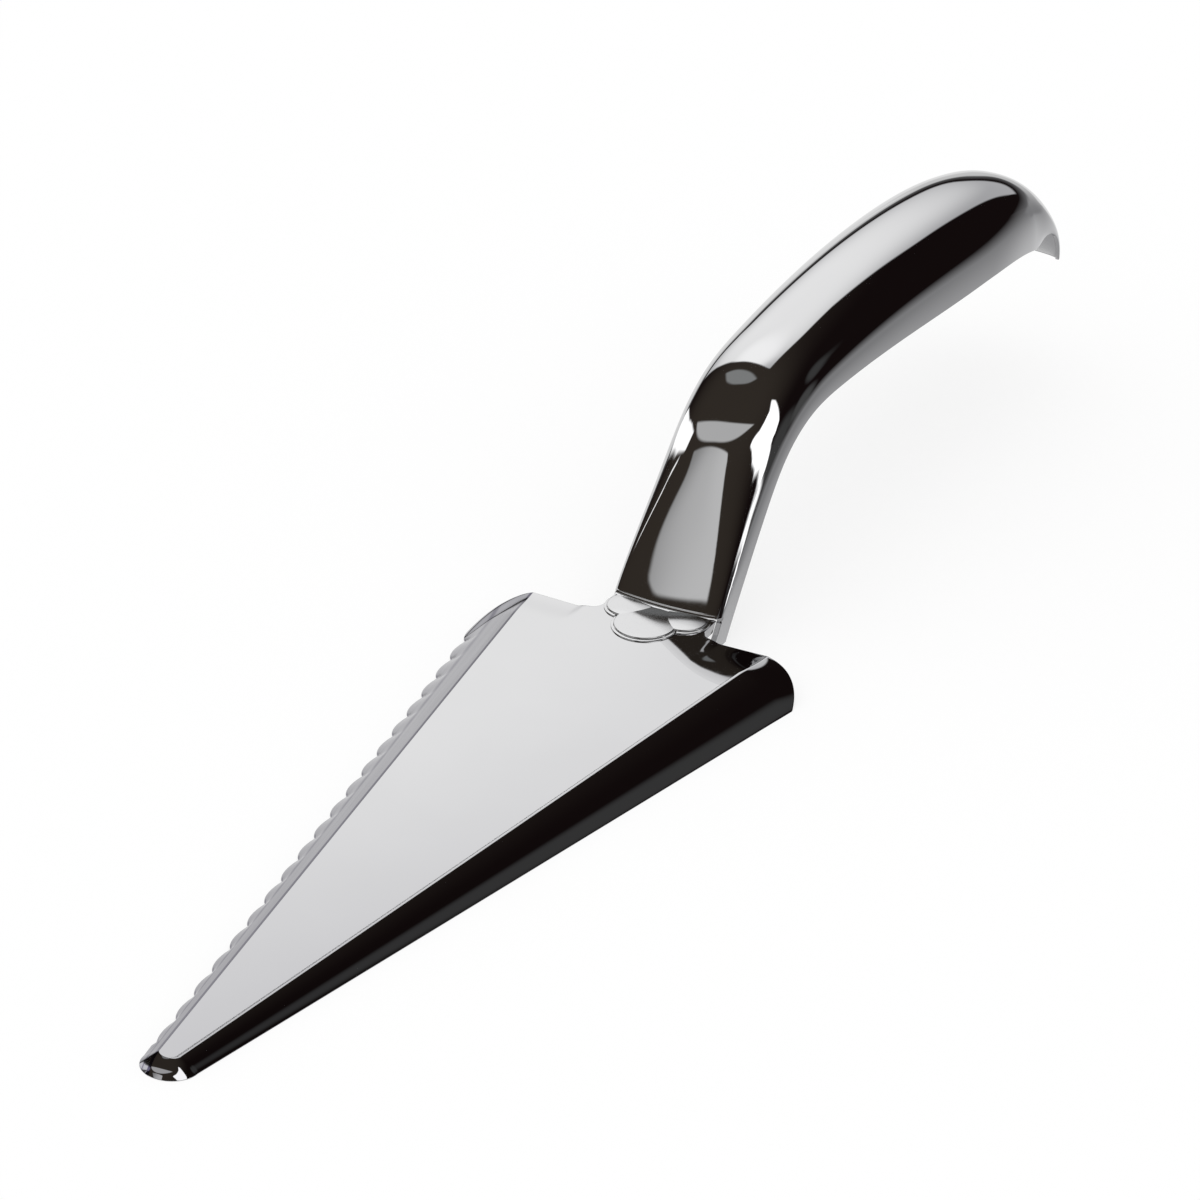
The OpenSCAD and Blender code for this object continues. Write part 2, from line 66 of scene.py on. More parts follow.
half_tip, half_rear, half_tongue = tip_width / 2, rear_width / 2, tongue_width / 2
half_root = half_tongue + tongue_fillet
side_spread = (half_rear - half_tip) / flat_length
reach_spread = (wall_reach_rear - wall_reach_tip) / flat_length
drop_spread = (wall_drop_rear - wall_drop_tip) / flat_length
rest_tilt = np.arctan(drop_spread)
zone_start, root_x = flat_length - rear_zone, flat_length - rear_tuck
print(f"the flat leans forward by {np.degrees(rest_tilt):.3f} degrees when the rims touch the table")

# %% [markdown]
# ## Sizes of the handle
# The handle starts at a seam on the blade's tongue. Its crown line is a straight neck and four arcs, so a slope at each
# joint and a radius for each arc are enough to draw it. Widths and depths are given at the neck, the grip and the end,
# with the shares of the crown's length between which they change.

# %% Handle sizes
seam_x = flat_length + 4.14
neck_angle, neck_run = np.radians(51.4), 23.95
slopes = np.radians([51.4, 8.2, -6.8, -18.1, -98.5])
radii = np.array([30.2, 240.0, 79.2, 15.7])
neck_width, grip_width, end_width = 18.3, 24.1, 19.7
neck_depth, grip_depth, lip_depth = 5.0, 10.86, 2.8
handle_sheet, neck_skirt, skirt_setback = 0.65, 4.5, 0.95
neck_squareness, grip_squareness, round_share, neck_crown = 14.0, 2.2, 0.2, 0.75
widen_share, widest_share = 0.133, 0.69
deepen_share, deepest_share, shallow_share = 0.07, 0.655, 0.84
tongue_end = seam_x + handle_sheet / np.sin(neck_angle)
print(f"the neck's seam lies {seam_x:.2f} mm behind the tip corners, the tongue ends at {tongue_end:.2f} mm")

# %% [markdown]
# ## Helpers for skins
# A skin is a grid of points: rows along the piece, columns across it. Sheet metal has two skins and an edge all the
# way round, and a real edge is never a knife: it is broken by a small round. That round is drawn here as a short
# curve at each of the edge's two corners, so the rims catch a thin line of light as they do on the real object.

# %% Blends and distances
def ease(t):
    """Smooth step: t squared times three minus twice t, held between zero and one."""
    c = np.clip(t, 0.0, 1.0)
    return c * c * (3.0 - 2.0 * c)


def mix(a, b, t):
    """Straight blend from a to b."""
    return a + (b - a) * t


def toward(points, target, distance):
    """Points moved towards a target by a set distance."""
    step = target - points
    length = np.linalg.norm(step, axis=-1, keepdims=True)
    return points + step * (distance / np.maximum(length, 1e-9))


# %% Edge of a sheet
edge_round = 0.14


def rounded_edge(outer, outer_in, inner, inner_in, steps=4):
    """Strip from the outer skin's border to the inner one's, closed to a ring: at each corner a curve of second degree
    that starts and ends one radius away from the corner, (1-t)^2 a + 2t(1-t) corner + t^2 b."""
    t = np.linspace(0.0, 1.0, steps + 1)[None, :, None]
    strips = []
    for corner, before, after in ((outer, outer_in, inner), (inner, outer, inner_in)):
        a, b = toward(corner, before, edge_round)[:, None], toward(corner, after, edge_round)[:, None]
        strips.append((1 - t) ** 2 * a + 2 * t * (1 - t) * corner[:, None] + t ** 2 * b)
    ring = np.concatenate(strips, axis=1)
    return np.concatenate([ring, ring[:1]])


def drawn_in(skin, open_start=True):
    """A grid with its border points moved inwards to where the edge's round starts. Without an open start the first row
    is a seam inside the piece, and only its two ends move."""
    inner = skin.copy()
    first = 1 if open_start else 0
    inner[first:-1, 0] = toward(skin[first:-1, 0], skin[first:-1, 1], edge_round)
    inner[first:-1, -1] = toward(skin[first:-1, -1], skin[first:-1, -2], edge_round)
    inner[-1, 1:-1] = toward(skin[-1, 1:-1], skin[-2, 1:-1], edge_round)
    corners = [(-1, 0, -2, 1), (-1, -1, -2, -2)]
    if open_start:
        inner[0, 1:-1] = toward(skin[0, 1:-1], skin[1, 1:-1], edge_round)
        corners += [(0, 0, 1, 1), (0, -1, 1, -2)]
    for row, column, next_row, next_column in corners:
        inner[row, column] = toward(skin[row, column], skin[next_row, next_column], edge_round)
    return inner


# %% Mesh from grids
weld_gap, shortest_edge, sharp_turn = 2e-7, 1e-7, np.radians(40.0)


def grid_faces(rows, columns, first=0, flip=False):
    """Four-sided faces of a grid of points, numbered row by row."""
    i, j = np.meshgrid(np.arange(rows - 1), np.arange(columns - 1), indexing="ij")
    a = (first + i * columns + j).ravel()
    quads = np.stack([a, a + 1, a + columns + 1, a + columns], axis=1)
    return quads[:, ::-1] if flip else quads


def finished_piece(name, grids, place):
    """Mesh object from a list of (grid, flip): the grids' shared borders are welded and the shading is smooth."""
    points, faces, first = [], [], 0
    for grid, flip in grids:
        rows, columns = grid.shape[:2]
        points.append(grid.reshape(-1, 3))
        faces.append(grid_faces(rows, columns, first, flip))
        first += rows * columns
    mesh = bpy.data.meshes.new(name)
    mesh.from_pydata(place(np.concatenate(points)).tolist(), [], np.concatenate(faces).tolist())
    shell = bmesh.new()
    shell.from_mesh(mesh)
    bmesh.ops.remove_doubles(shell, verts=shell.verts, dist=weld_gap)
    bmesh.ops.dissolve_degenerate(shell, edges=shell.edges, dist=shortest_edge)
    shell.to_mesh(mesh)
    open_edges = sum(1 for edge in shell.edges if not edge.is_manifold)
    shell.free()
    mesh.shade_smooth()
    mesh.set_sharp_from_angle(angle=sharp_turn)
    piece = bpy.data.objects.new(name, mesh)
    bpy.context.scene.collection.objects.link(piece)
    print(f"{name}: {len(mesh.polygons)} faces, {open_edges} open edges")
    return piece


# %% [markdown]
# ## The blade
# The blade is one wedge of sheet with its sides rolled down. Across a wall the outside is an arc: it leaves the flat
# with a soft crease and gets steeper towards the rim. The rim of one wall is cut into round scales. The whole upper
# skin is one grid. A row is a station along the blade: it runs from the toothed rim over the crease, the flat and the
# other crease to the plain rim. At the nose the rows turn from sideways to straight ahead.

# %% Wall sizes along the blade
def flat_half(x):
    """Half width of the flat, which widens evenly from the tip to the rear."""
    return half_tip + side_spread * x


def wall_reach(x):
    """How far a wall reaches out past its crease, growing evenly to the rear."""
    return wall_reach_tip + reach_spread * x


def wall_drop(x):
    """How far a rim lies below the flat, growing evenly to the rear."""
    return wall_drop_tip + drop_spread * x


def rear_fall(x):
    """How far the rear edge rolls down: a smooth step over the roll's run."""
    return rear_roll * ease((x - flat_length + rear_roll_run) / rear_roll_run)


# %% Arc across a wall
def wall_arc(reach, drop, bow):
    """Start slope and radius of a wall's arc: its chord slopes by atan(drop / reach), and it turns by twice the bow."""
    return np.arctan2(drop, reach) - bow, np.hypot(reach, drop) / (2 * np.sin(bow))


def outer_wall(reach, drop, bow, share):
    """Outward and downward distance from the crease, at a share of the arc."""
    start, radius = wall_arc(reach, drop, bow)
    slope = start + 2 * bow * share
    return radius * (np.sin(slope) - np.sin(start)), radius * (np.cos(start) - np.cos(slope))


def inner_wall(reach, drop, bow, share):
    """The same arc's centre with a radius smaller by the sheet, which thins towards the rim and ends level with it."""
    start, radius = wall_arc(reach, drop, bow)
    last = np.arccos(radius * np.cos(start + 2 * bow) / (radius - rim_sheet))
    slope, inside = mix(start, last, share), radius - mix(blade_sheet, rim_sheet, share)
    return inside * np.sin(slope) - radius * np.sin(start), radius * np.cos(start) - inside * np.cos(slope)


arc_radii = [wall_arc(wall_reach(x), wall_drop(x), wall_bow)[1] for x in (0.0, flat_length)]
print(f"the plain wall's arc has a radius of {arc_radii[0]:.1f} mm at the tip and {arc_radii[1]:.1f} mm at the rear")

# %% Stations along the blade
nose_steps, station_step, fine_steps = 36, 0.4, 4001
rim_yaw = np.arctan(side_spread + reach_spread)
rim_run = np.cos(rim_yaw) * np.cos(np.arctan(drop_spread * np.cos(rim_yaw)))
nose_turns = np.radians(np.linspace(0.0, 90.0, nose_steps + 1))

probe = np.linspace(0.0, flat_length, fine_steps)
probe_rim = probe - toothed_sweep * ease((probe - zone_start) / rear_zone)
valleys = tooth_start + np.arange(tooth_count + 1) * tooth_pitch * rim_run
valleys = np.concatenate([[0.0], valleys[valleys < probe_rim[-1]], [probe_rim[-1]]])
valley_x = np.interp(valleys, probe_rim, probe)
spans = [np.linspace(a, b, max(3, int(np.ceil((b - a) / station_step))), endpoint=False)
         for a, b in zip(valley_x, valley_x[1:])]
side_x = np.concatenate(spans + [[flat_length]])
print(f"stations: {len(nose_turns)} round the nose, {len(side_x)} along each side")

# %% Teeth
scoop_depth, scoop_top, scoop_full, scoop_fade = 0.22, 0.5, 0.8, 0.4
tooth_radius = (tooth_pitch ** 2 / 4 + tooth_depth ** 2) / (2 * tooth_depth)


def tooth_place(x):
    """How many teeth lie before a place on the rim, and the offset from the middle of its own tooth, in pitches."""
    along = (x - tooth_start) / (rim_run * tooth_pitch)
    return along, along - np.floor(along) - 0.5


def tooth_cut(x):
    """Depth cut from the toothed rim: between two valleys the rim is a circle's arc, deepest at the valleys."""
    along, offset = tooth_place(x)
    depth = tooth_radius - np.sqrt(tooth_radius ** 2 - (offset * tooth_pitch) ** 2)
    return np.where((along > 0) & (along < tooth_count), depth, 0.0)


def tooth_scoop(x):
    """Depth of the ground scoops above the valleys: the square of the offset, faded out at both ends of the row."""
    along, offset = tooth_place(x)
    faded = ease(along / scoop_fade) * ease((tooth_count - along) / scoop_fade)
    return scoop_depth * (2 * offset) ** 2 * faded


print(f"teeth: {tooth_count}, each an arc of {tooth_radius:.2f} mm radius")

# %% Profiles across a wall
nose_round, toothed_round, plain_round = 0.4, 0.3, 2.0
inner_start = 0.06
crease_steps, wall_steps = 8, 26
crease_share = np.linspace(0.0, 1.0, crease_steps + 1)[None, :-1]
wall_share = np.linspace(0.0, 1.0, wall_steps + 1)[None, :]


def inner_profile(reach, drop, bow, cut):
    """Across a wall's inner skin: straight from the mitre under the crease to the arc, then along it to the rim."""
    start, radius = wall_arc(reach, drop, bow)
    last = 1 - cut / (radius * 2 * bow)
    out, down = inner_wall(reach, drop, bow, mix(inner_start, last, wall_share))
    mitre = -blade_sheet * np.tan(start / 2)
    return (np.concatenate([mix(mitre, out[:, :1], crease_share), out], axis=1),
            np.concatenate([mix(blade_sheet, down[:, :1], crease_share), down], axis=1))


def outer_profile(reach, drop, bow, cut, crease_round, scoop):
    """Across a wall's outer skin: a round that touches the flat and the arc, then along the arc to the rim. A scoop
    sinks the arc's lower part square to its slope."""
    start, radius = wall_arc(reach, drop, bow)
    last = 1 - cut / (radius * 2 * bow)
    turn, tangent = start * crease_share, crease_round * np.tan(start / 2)
    part = mix(tangent / (radius * 2 * bow), last, wall_share)
    out, down = outer_wall(reach, drop, bow, part)
    sunk, slope = scoop * ease((part - scoop_top) / (scoop_full - scoop_top)), start + 2 * bow * part
    out, down = out - sunk * np.sin(slope), down + sunk * np.cos(slope)
    return (np.concatenate([crease_round * np.sin(turn) - tangent, out], axis=1),
            np.concatenate([crease_round * (1 - np.cos(turn)), down], axis=1))


# %% Walls
toothed_bow, bow_change = np.radians(3.0), 5.0


def wall_columns(side, inside):
    """Wall of one side, nose included, as a grid whose rows run from the crease's flat end down to the rim. Towards the
    rear the rim sweeps forward, by a power of the share across the wall."""
    toothed = side > 0
    sweep, power = (toothed_sweep, toothed_power) if toothed else (plain_sweep, plain_power)
    side_bow, side_round = (toothed_bow, toothed_round) if toothed else (wall_bow, plain_round)

    def profile(reach, drop, bow, cut, crease_round, scoop):
        if inside:
            return inner_profile(reach, drop, bow, cut)
        return outer_profile(reach, drop, bow, cut, crease_round, scoop)

    turn = nose_turns[:-1, None]
    turned_away = ease(turn / nose_turns[-1])
    ahead = -(tip_bulge + wall_reach_tip) * np.cos(turn)
    out, down = profile(np.full_like(turn, wall_reach_tip), wall_drop(ahead), mix(wall_bow, side_bow, turned_away), 0.0,
                        mix(nose_round, side_round, turned_away), 0.0)
    nose = np.stack([-(tip_bulge + out) * np.cos(turn), side * (half_tip + out) * np.sin(turn), -down], axis=-1)

    station = side_x[:, None]
    across = np.concatenate([np.zeros(crease_steps), wall_share[0]])[None, :] ** power
    x = station - sweep * across * ease((station - zone_start) / rear_zone)
    cut, scoop = (tooth_cut(x[:, -1:]), tooth_scoop(x[:, -1:])) if toothed else (0.0, 0.0)
    bow = mix(side_bow, wall_bow, ease((station - flat_length + bow_change) / bow_change))
    profiles = [profile(wall_reach(c), wall_drop(c) - rear_fall(c), bow, cut, side_round, scoop)
                for c in np.split(x, x.shape[1], axis=1)]
    out = np.stack([p[0][:, k] for k, p in enumerate(profiles)], axis=1)
    down = np.stack([p[1][:, k] for k, p in enumerate(profiles)], axis=1)
    wall = np.stack([x, side * (flat_half(x) + out), -rear_fall(x) - down], axis=-1)
    return np.concatenate([nose, wall])


# %% Flat and whole skin
root_steps, flat_steps, near_crease, at_crease = 10, 14, 0.985, 0.995
root_part = half_root / half_rear
flat_parts = np.concatenate([np.linspace(0, root_part, root_steps + 1),
                             np.linspace(root_part, near_crease, flat_steps + 1)[1:], [at_crease]])


def flat_columns(border, inside):
    """The flat between the two creases: each row runs straight from one crease to the other."""
    parts = np.concatenate([-flat_parts[:0:-1], flat_parts])[::-1]
    x, y = np.broadcast_arrays(border[:, None, 0], border[:, None, 1] * parts[None, :])
    wide = np.abs(y)
    tuck = rear_tuck * np.clip((x - zone_start) / rear_zone, 0, 1)
    tuck = tuck * np.clip((half_rear - wide) / (half_rear - half_root), 0, 1)
    fall = rear_fall(x) * ease((wide - half_root) / root_blend)
    return np.stack([x - tuck, y, -fall - (blade_sheet if inside else 0.0)], axis=-1)


def blade_skin(inside):
    """One skin of the blade: toothed wall, flat and plain wall side by side."""
    toothed, plain = wall_columns(1, inside), wall_columns(-1, inside)
    return np.concatenate([toothed[:, ::-1], flat_columns(toothed[:, 0], inside), plain], axis=1)


top, under = blade_skin(False), blade_skin(True)
print("blade skin grid:", top.shape[:2])

# %% [markdown]
# ## The blade's tongue and edge
# Behind the flat a narrow tongue carries the neck. It is a small grid of its own: its first row is the part of the
# flat's last row between the two inside corners, then it narrows through these round corners and runs straight back.
# The edge strip follows the border of both grids once round.

# %% Tongue grid
fillet_steps, tongue_steps = 9, 6
middle = top.shape[1] // 2
root_left, root_right = middle - root_steps, middle + root_steps
root_columns = slice(root_left, root_right + 1)


def tongue_skin(skin, inside):
    """Rows behind the root: half width = root half width - fillet sin(turn), then constant up to the end. The end
    slopes as the neck does, so the under skin stops sooner."""
    turn = np.radians(np.linspace(0.0, 90.0, fillet_steps + 1))[1:]
    straight_x = root_x + tongue_fillet
    back = np.concatenate([root_x + tongue_fillet * (1 - np.cos(turn)),
                           np.linspace(straight_x, tongue_end, tongue_steps + 1)[1:]])
    half = np.concatenate([half_root - tongue_fillet * np.sin(turn), np.full(tongue_steps, half_tongue)])
    if inside:
        lean = blade_sheet / np.tan(neck_angle)
        back = back - lean * np.clip((back - straight_x) / (tongue_end - straight_x), 0.0, 1.0)
    first = skin[-1, root_columns]
    part = np.linspace(1.0, -1.0, first.shape[0])[None, :]
    x, y = np.broadcast_arrays(back[:, None], half[:, None] * part)
    rows = np.stack([x, y, np.full_like(x, -blade_sheet if inside else 0.0)], axis=-1)
    return np.concatenate([first[None], rows])


tongue_top, tongue_under = tongue_skin(top, False), tongue_skin(under, True)
print("tongue grid:", tongue_top.shape[:2])


# %% Border of the blade
def blade_border(skin, tongue):
    """The border once round, from the toothed rim's rear end, with the next point inwards for each border point."""
    edge = [skin[:0:-1, 0], skin[:, -1], skin[-1, -2:root_right:-1], tongue[:, -1],
            tongue[-1, -2:0:-1], tongue[::-1, 0], skin[-1, root_left - 1::-1]]
    inward = [skin[:0:-1, 1].copy(), skin[:, -2].copy(), skin[-2, -2:root_right:-1], tongue[:, -2].copy(),
              tongue[-2, -2:0:-1], tongue[::-1, 1].copy(), skin[-2, root_left - 1::-1].copy()]
    inward[0][0] = skin[-2, 1]
    inward[1][-1] = skin[-2, -2]
    inward[3][0], inward[3][-1] = skin[-2, root_right - 1], tongue[-2, -2]
    inward[5][0], inward[5][-1] = tongue[-2, 1], skin[-2, root_left + 1]
    inward[6][-1] = skin[-2, 1]
    return np.concatenate(edge), np.concatenate(inward)


def pulled_in(skin, tongue):
    """Both grids with their border points drawn in for the edge's round. The row that they share stays one row: only
    its two ends, the inside corners, move."""
    skin_in, tongue_in = drawn_in(skin, open_start=False), drawn_in(tongue, open_start=False)
    skin_in[-1, root_columns] = skin[-1, root_columns]
    for corner, inner in ((root_left, root_left + 1), (root_right, root_right - 1)):
        skin_in[-1, corner] = toward(skin[-1, corner], skin[-2, inner], edge_round)
    tongue_in[0] = skin_in[-1, root_columns]
    return skin_in, tongue_in


blade_edge = rounded_edge(*blade_border(top, tongue_top), *blade_border(under, tongue_under))
print("blade edge grid:", blade_edge.shape[:2])

# %% [markdown]
# ## The handle
# Neck and grip are one open shell, pressed from thin sheet and hooked at its end. The crown line is a straight neck
# followed by four arcs. Metal takes no bend at once, so the drawn slope is averaged over a few millimetres, and the
# mirror shows no kink where two arcs meet. Across the line the section is a half superellipse: nearly square at the
# neck, round at the grip. Written with the polar angle, its points lie evenly even where it is square.

# %% Crown line
seam = np.array([seam_x, 0.0])
arc_starts = neck_run + np.concatenate([[0.0], np.cumsum(radii * (slopes[:-1] - slopes[1:]))])
crown_length = arc_starts[-1]


def crown_arcs(s):
    """Place and slope along the drawn crown: the slope falls by run / radius, the place follows each circle exactly."""
    ahead = np.array([np.cos(neck_angle), np.sin(neck_angle)])
    place, slope = seam + np.asarray(s)[..., None] * ahead, np.full(np.shape(s), neck_angle)
    begin = seam + neck_run * ahead
    for start, radius, a, b in zip(arc_starts, radii, slopes, slopes[1:]):
        here = s > start
        angle = np.clip(a - (s - start) / radius, b, a)
        arc = begin + radius * np.stack([np.sin(a) - np.sin(angle), np.cos(angle) - np.cos(a)], axis=-1)
        place, slope = np.where(here[..., None], arc, place), np.where(here, angle, slope)
        begin = begin + radius * np.array([np.sin(a) - np.sin(b), np.cos(b) - np.cos(a)])
    return place, slope


crown_end = crown_arcs(np.array(crown_length))[0]
print(f"crown line: {crown_length:.1f} mm long")

# %% Eased bends
bend_ease, run_past, slope_past = 5.0, 12.0, 20.0
crown_run = np.linspace(-run_past, crown_length + run_past, fine_steps)
crown_step = crown_run[1] - crown_run[0]
drawn_slope = np.interp(crown_run, np.concatenate([[-slope_past], arc_starts, [crown_length + slope_past]]),
                        np.concatenate([[neck_angle], slopes, [slopes[-1] - slope_past / radii[-1]]]))
nearby = np.ones(2 * int(bend_ease / crown_step) + 1)
bent_slope = np.convolve(np.pad(drawn_slope, len(nearby) // 2, mode="edge"), nearby / nearby.sum(), mode="valid")
bent_place = np.cumsum(np.stack([np.cos(bent_slope), np.sin(bent_slope)], axis=1), axis=0) * crown_step


def crown_line(s):
    """The same line as metal takes it: its slope is the mean of the drawn slope nearby, its place the sum of steps."""
    place = np.stack([np.interp(s, crown_run, bent_place[:, k]) for k in (0, 1)], axis=-1)
    return place, np.interp(s, crown_run, bent_slope)


bent_place -= crown_line(0.0)[0] - seam
bent_place += (crown_end - crown_line(crown_length)[0]) * (crown_run / crown_length)[:, None]
crown_move = np.abs(bent_place - crown_arcs(crown_run)[0])[crown_run < crown_length].max()
print(f"easing the bends moves the crown by at most {crown_move:.2f} mm")

# %% Section of the handle
bevel_turn, bevel_cut = np.radians(45.0), 0.07


def handle_half(share):
    """Half width: a smooth step from the neck to the grip, then another to the end."""
    rising = mix(neck_width, grip_width, ease((share - widen_share) / (widest_share - widen_share)))
    falling = mix(grip_width, end_width, ease((share - widest_share) / (1 - widest_share)))
    return np.where(share < widest_share, rising, falling) / 2


def handle_depth(share):
    """Depth from crown to rims: a smooth step from the neck to the grip, then another to the lip."""
    rising = mix(neck_depth, grip_depth, ease((share - deepen_share) / (deepest_share - deepen_share)))
    falling = mix(grip_depth, lip_depth, ease((share - shallow_share) / (1 - shallow_share)))
    return np.where(share < shallow_share, rising, falling)


def section(share, polar, inside):
    """Superellipse |wide|^n + |high|^n = 1 at a polar angle, with r = (|sin|^n + |cos|^n)^(-1/n). At the neck its
    front also sags by the square of the distance from the middle, and a narrow flat breaks its two long corners."""
    thin = handle_sheet if inside else 0.0
    rounded = ease(share / round_share)
    power = 1 / mix(1 / neck_squareness, 1 / grip_squareness, rounded)
    sine, cosine = np.sin(polar), np.abs(np.cos(polar))
    r = (np.abs(sine) ** power + cosine ** power) ** (-1 / power)
    if not inside:
        across, front = handle_half(share) * np.sin(bevel_turn), handle_depth(share) * np.cos(bevel_turn)
        dual = power / (power - 1)
        corner = (across ** dual + front ** dual) ** (1 / dual)
        corner = corner - bevel_cut * (1 - ease(share * crown_length / neck_run))
        r = np.minimum(r, corner / (across * np.abs(sine) + front * cosine))
    wide, high = r * sine, r * cosine
    sag = neck_crown * (1 - rounded) * wide ** 2 * high
    return (handle_half(share) - thin) * wide, thin + (handle_depth(share) - thin) * (1 - high) + sag


print(f"the grip is up to {2 * handle_half(widest_share):.1f} mm wide and {handle_depth(deepest_share):.1f} mm deep")

# %% [markdown]
# ## On the table
# The server rests on the rims of its blade. The walls are deeper at the rear than at the tip, so the level flat of the
# drawing has to lean forward a little. This could be a turn of each finished object, but an object that stays at the
# origin, with its place in its mesh, keeps patterns where they belong. So one function moves the points themselves.

# %% Set down on the table
hook_centre = crown_end + radii[-1] * np.array([np.sin(slopes[-1]), -np.cos(slopes[-1])])
turned = np.array([np.cos(rest_tilt), -np.sin(rest_tilt)])
nose_front = np.array([-(tip_bulge + wall_reach_tip), -wall_drop(-(tip_bulge + wall_reach_tip))]) @ turned
hook_back = hook_centre @ turned + radii[-1]
centre_x = (nose_front + hook_back) / 2


def set_down(points):
    """Turns the drawing frame about Y so that the rims touch the table, centres it, and gives metres."""
    x, y, z = np.moveaxis(np.asarray(points, float), -1, 0)
    c, s = np.cos(rest_tilt), np.sin(rest_tilt)
    moved = np.stack([x * c - z * s - centre_x, y, x * s + z * c + wall_drop_tip * c], axis=-1)
    return moved / mm_per_metre


print(f"the server is {hook_back - nose_front:.1f} mm long")

# %% Blade piece
top_in, tongue_top_in = pulled_in(top, tongue_top)
under_in, tongue_under_in = pulled_in(under, tongue_under)
blade = finished_piece("polished_blade", [
    (top_in, False), (tongue_top_in, False), (under_in, True), (tongue_under_in, True), (blade_edge, False)], set_down)

# %% Handle grid
neck_join, root_tuck, tuck_run = 8.0, 0.08, 4.0
skirt_depth, skirt_gap, step_gap = handle_sheet + skirt_setback, 0.02, 1e-4
corner_from = np.radians(36.0)
front_columns, corner_columns, skirt_columns = 14, 20, 16
join_rows, straight_rows, arc_rows = 11, 15, (48, 96, 40, 64)


def handle_skin(inside):
    """Rows along the crown, columns across: below the join each column runs down to its own cut, the front wall's on
    the seat and the skirts' further down."""
    angles = np.linspace(0.0, np.pi / 2, fine_steps)
    step = np.interp(skirt_depth + skirt_gap, section(np.zeros_like(angles), angles, inside)[1], angles)
    side = np.concatenate([np.linspace(0, corner_from, front_columns, endpoint=False),
                           np.linspace(corner_from, step - step_gap, corner_columns),
                           np.linspace(step + step_gap, np.pi / 2, skirt_columns)])
    polar = np.concatenate([-side[:0:-1], side])[None, :]
    down = section(np.zeros_like(polar), polar, inside)[1]
    cut_height = np.where(np.abs(polar) < step, 0.0, -neck_skirt)
    low = (cut_height + down * np.cos(neck_angle)) / np.sin(neck_angle)
    neck_rows = mix(low, neck_join, np.linspace(0.0, 1.0, join_rows, endpoint=False)[:, None])
    straight = np.linspace(neck_join, neck_run, straight_rows, endpoint=False)
    arcs = [np.linspace(a, b, rows, endpoint=False) for a, b, rows in zip(arc_starts, arc_starts[1:], arc_rows)]
    rest = np.concatenate([straight] + arcs + [[crown_length]])[:, None]
    s = np.concatenate([neck_rows, np.broadcast_to(rest, (rest.shape[0], polar.shape[1]))])
    out, down = section(s / crown_length, np.broadcast_to(polar, s.shape), inside)
    down = down + root_tuck * np.clip(1 - s / tuck_run, 0.0, 1.0) ** 2
    place, slope = crown_line(s)
    return np.stack([place[..., 0] + down * np.sin(slope), out, place[..., 1] - down * np.cos(slope)], axis=-1)


crown_skin, hollow_skin = handle_skin(False), handle_skin(True)
print("handle skin grid:", crown_skin.shape[:2])


# %% Handle piece
def sheet_border(skin):
    """Border of one plain grid, once round, with the next point inwards."""
    edge = [skin[:, 0], skin[-1, 1:], skin[-2::-1, -1], skin[0, -2:0:-1]]
    inward = [skin[:, 1].copy(), skin[-2, 1:].copy(), skin[-2::-1, -2].copy(), skin[1, -2:0:-1]]
    inward[0][0], inward[0][-1] = skin[1, 1], skin[-2, 1]
    inward[1][-1] = skin[-2, -2]
    inward[2][-1] = skin[1, -2]
    return np.concatenate(edge), np.concatenate(inward)


handle_edge = rounded_edge(*sheet_border(crown_skin), *sheet_border(hollow_skin))
handle = finished_piece("polished_handle", [
    (drawn_in(crown_skin), True), (drawn_in(hollow_skin), False), (handle_edge, True)], set_down)

# %% [markdown]
# ## The foot plate
# Three flat cushioned petals cover the neck's root, and a narrow step runs round them and along the neck's seam.
# A petal is a grid in polar form: rows are radii and columns are directions. Along each direction the cushion ends at
# its own rim, at the seam's step or at the neighbour's cushion, whichever comes first, so the three petals meet
# without passing through each other. Each grid runs on down and back to the middle underneath, so it is closed.

# %% Petal sizes
seat_depth, braze_gap = 0.2, 0.1
front_ahead, front_radius = 5.4, 4.7
side_ahead, side_apart, side_radius = 1.7, 4.7, 3.4
petals = [(seam_x - front_ahead, 0.0, front_radius), (seam_x - side_ahead, side_apart, side_radius),
          (seam_x - side_ahead, -side_apart, side_radius)]
petal_border, border_height, petal_edge_height, petal_crown_height = 0.45, 0.4, 0.65, 0.9
seam_border, sunk_height, seam_steps = 0.6, 0.1, 2001


def cushion(radius, distance):
    """Height of a petal's cushion above the seat: a sphere through the crown and the rim."""
    rise = petal_crown_height - petal_edge_height
    ball = (radius ** 2 + rise ** 2) / (2 * rise)
    return petal_crown_height - ball + np.sqrt(np.maximum(ball ** 2 - distance ** 2, 0.0))


def seam_line(y):
    """The neck's outline on the seat: its section cut by the level plane."""
    angles = np.linspace(-np.pi / 2, np.pi / 2, seam_steps)
    out, down = section(np.zeros_like(angles), angles, False)
    return seam_x - braze_gap / np.tan(neck_angle) + np.interp(y, out, down) / np.sin(neck_angle)


print(f"petals: {len(petals)}, with cushions {petal_crown_height - seat_depth:.2f} mm above the blade")


# %% Petal heights
def first_reach(hit, reach, otherwise):
    """Along each direction, the reach at which a condition first holds."""
    return np.where(hit.any(axis=0), reach[np.argmax(hit, axis=0), 0], otherwise)[None, :]


def petal_height(index, x, y):
    """Height of one petal with its step at any place in plan, and a height below zero outside it."""
    cx, cy, radius = petals[index]
    distance, room = np.hypot(x - cx, y - cy), seam_line(y) - x
    height = np.where((distance <= radius) & (room > seam_border), cushion(radius, distance), border_height)
    return np.where((distance <= radius + petal_border) & (room > 0), height, -1.0)


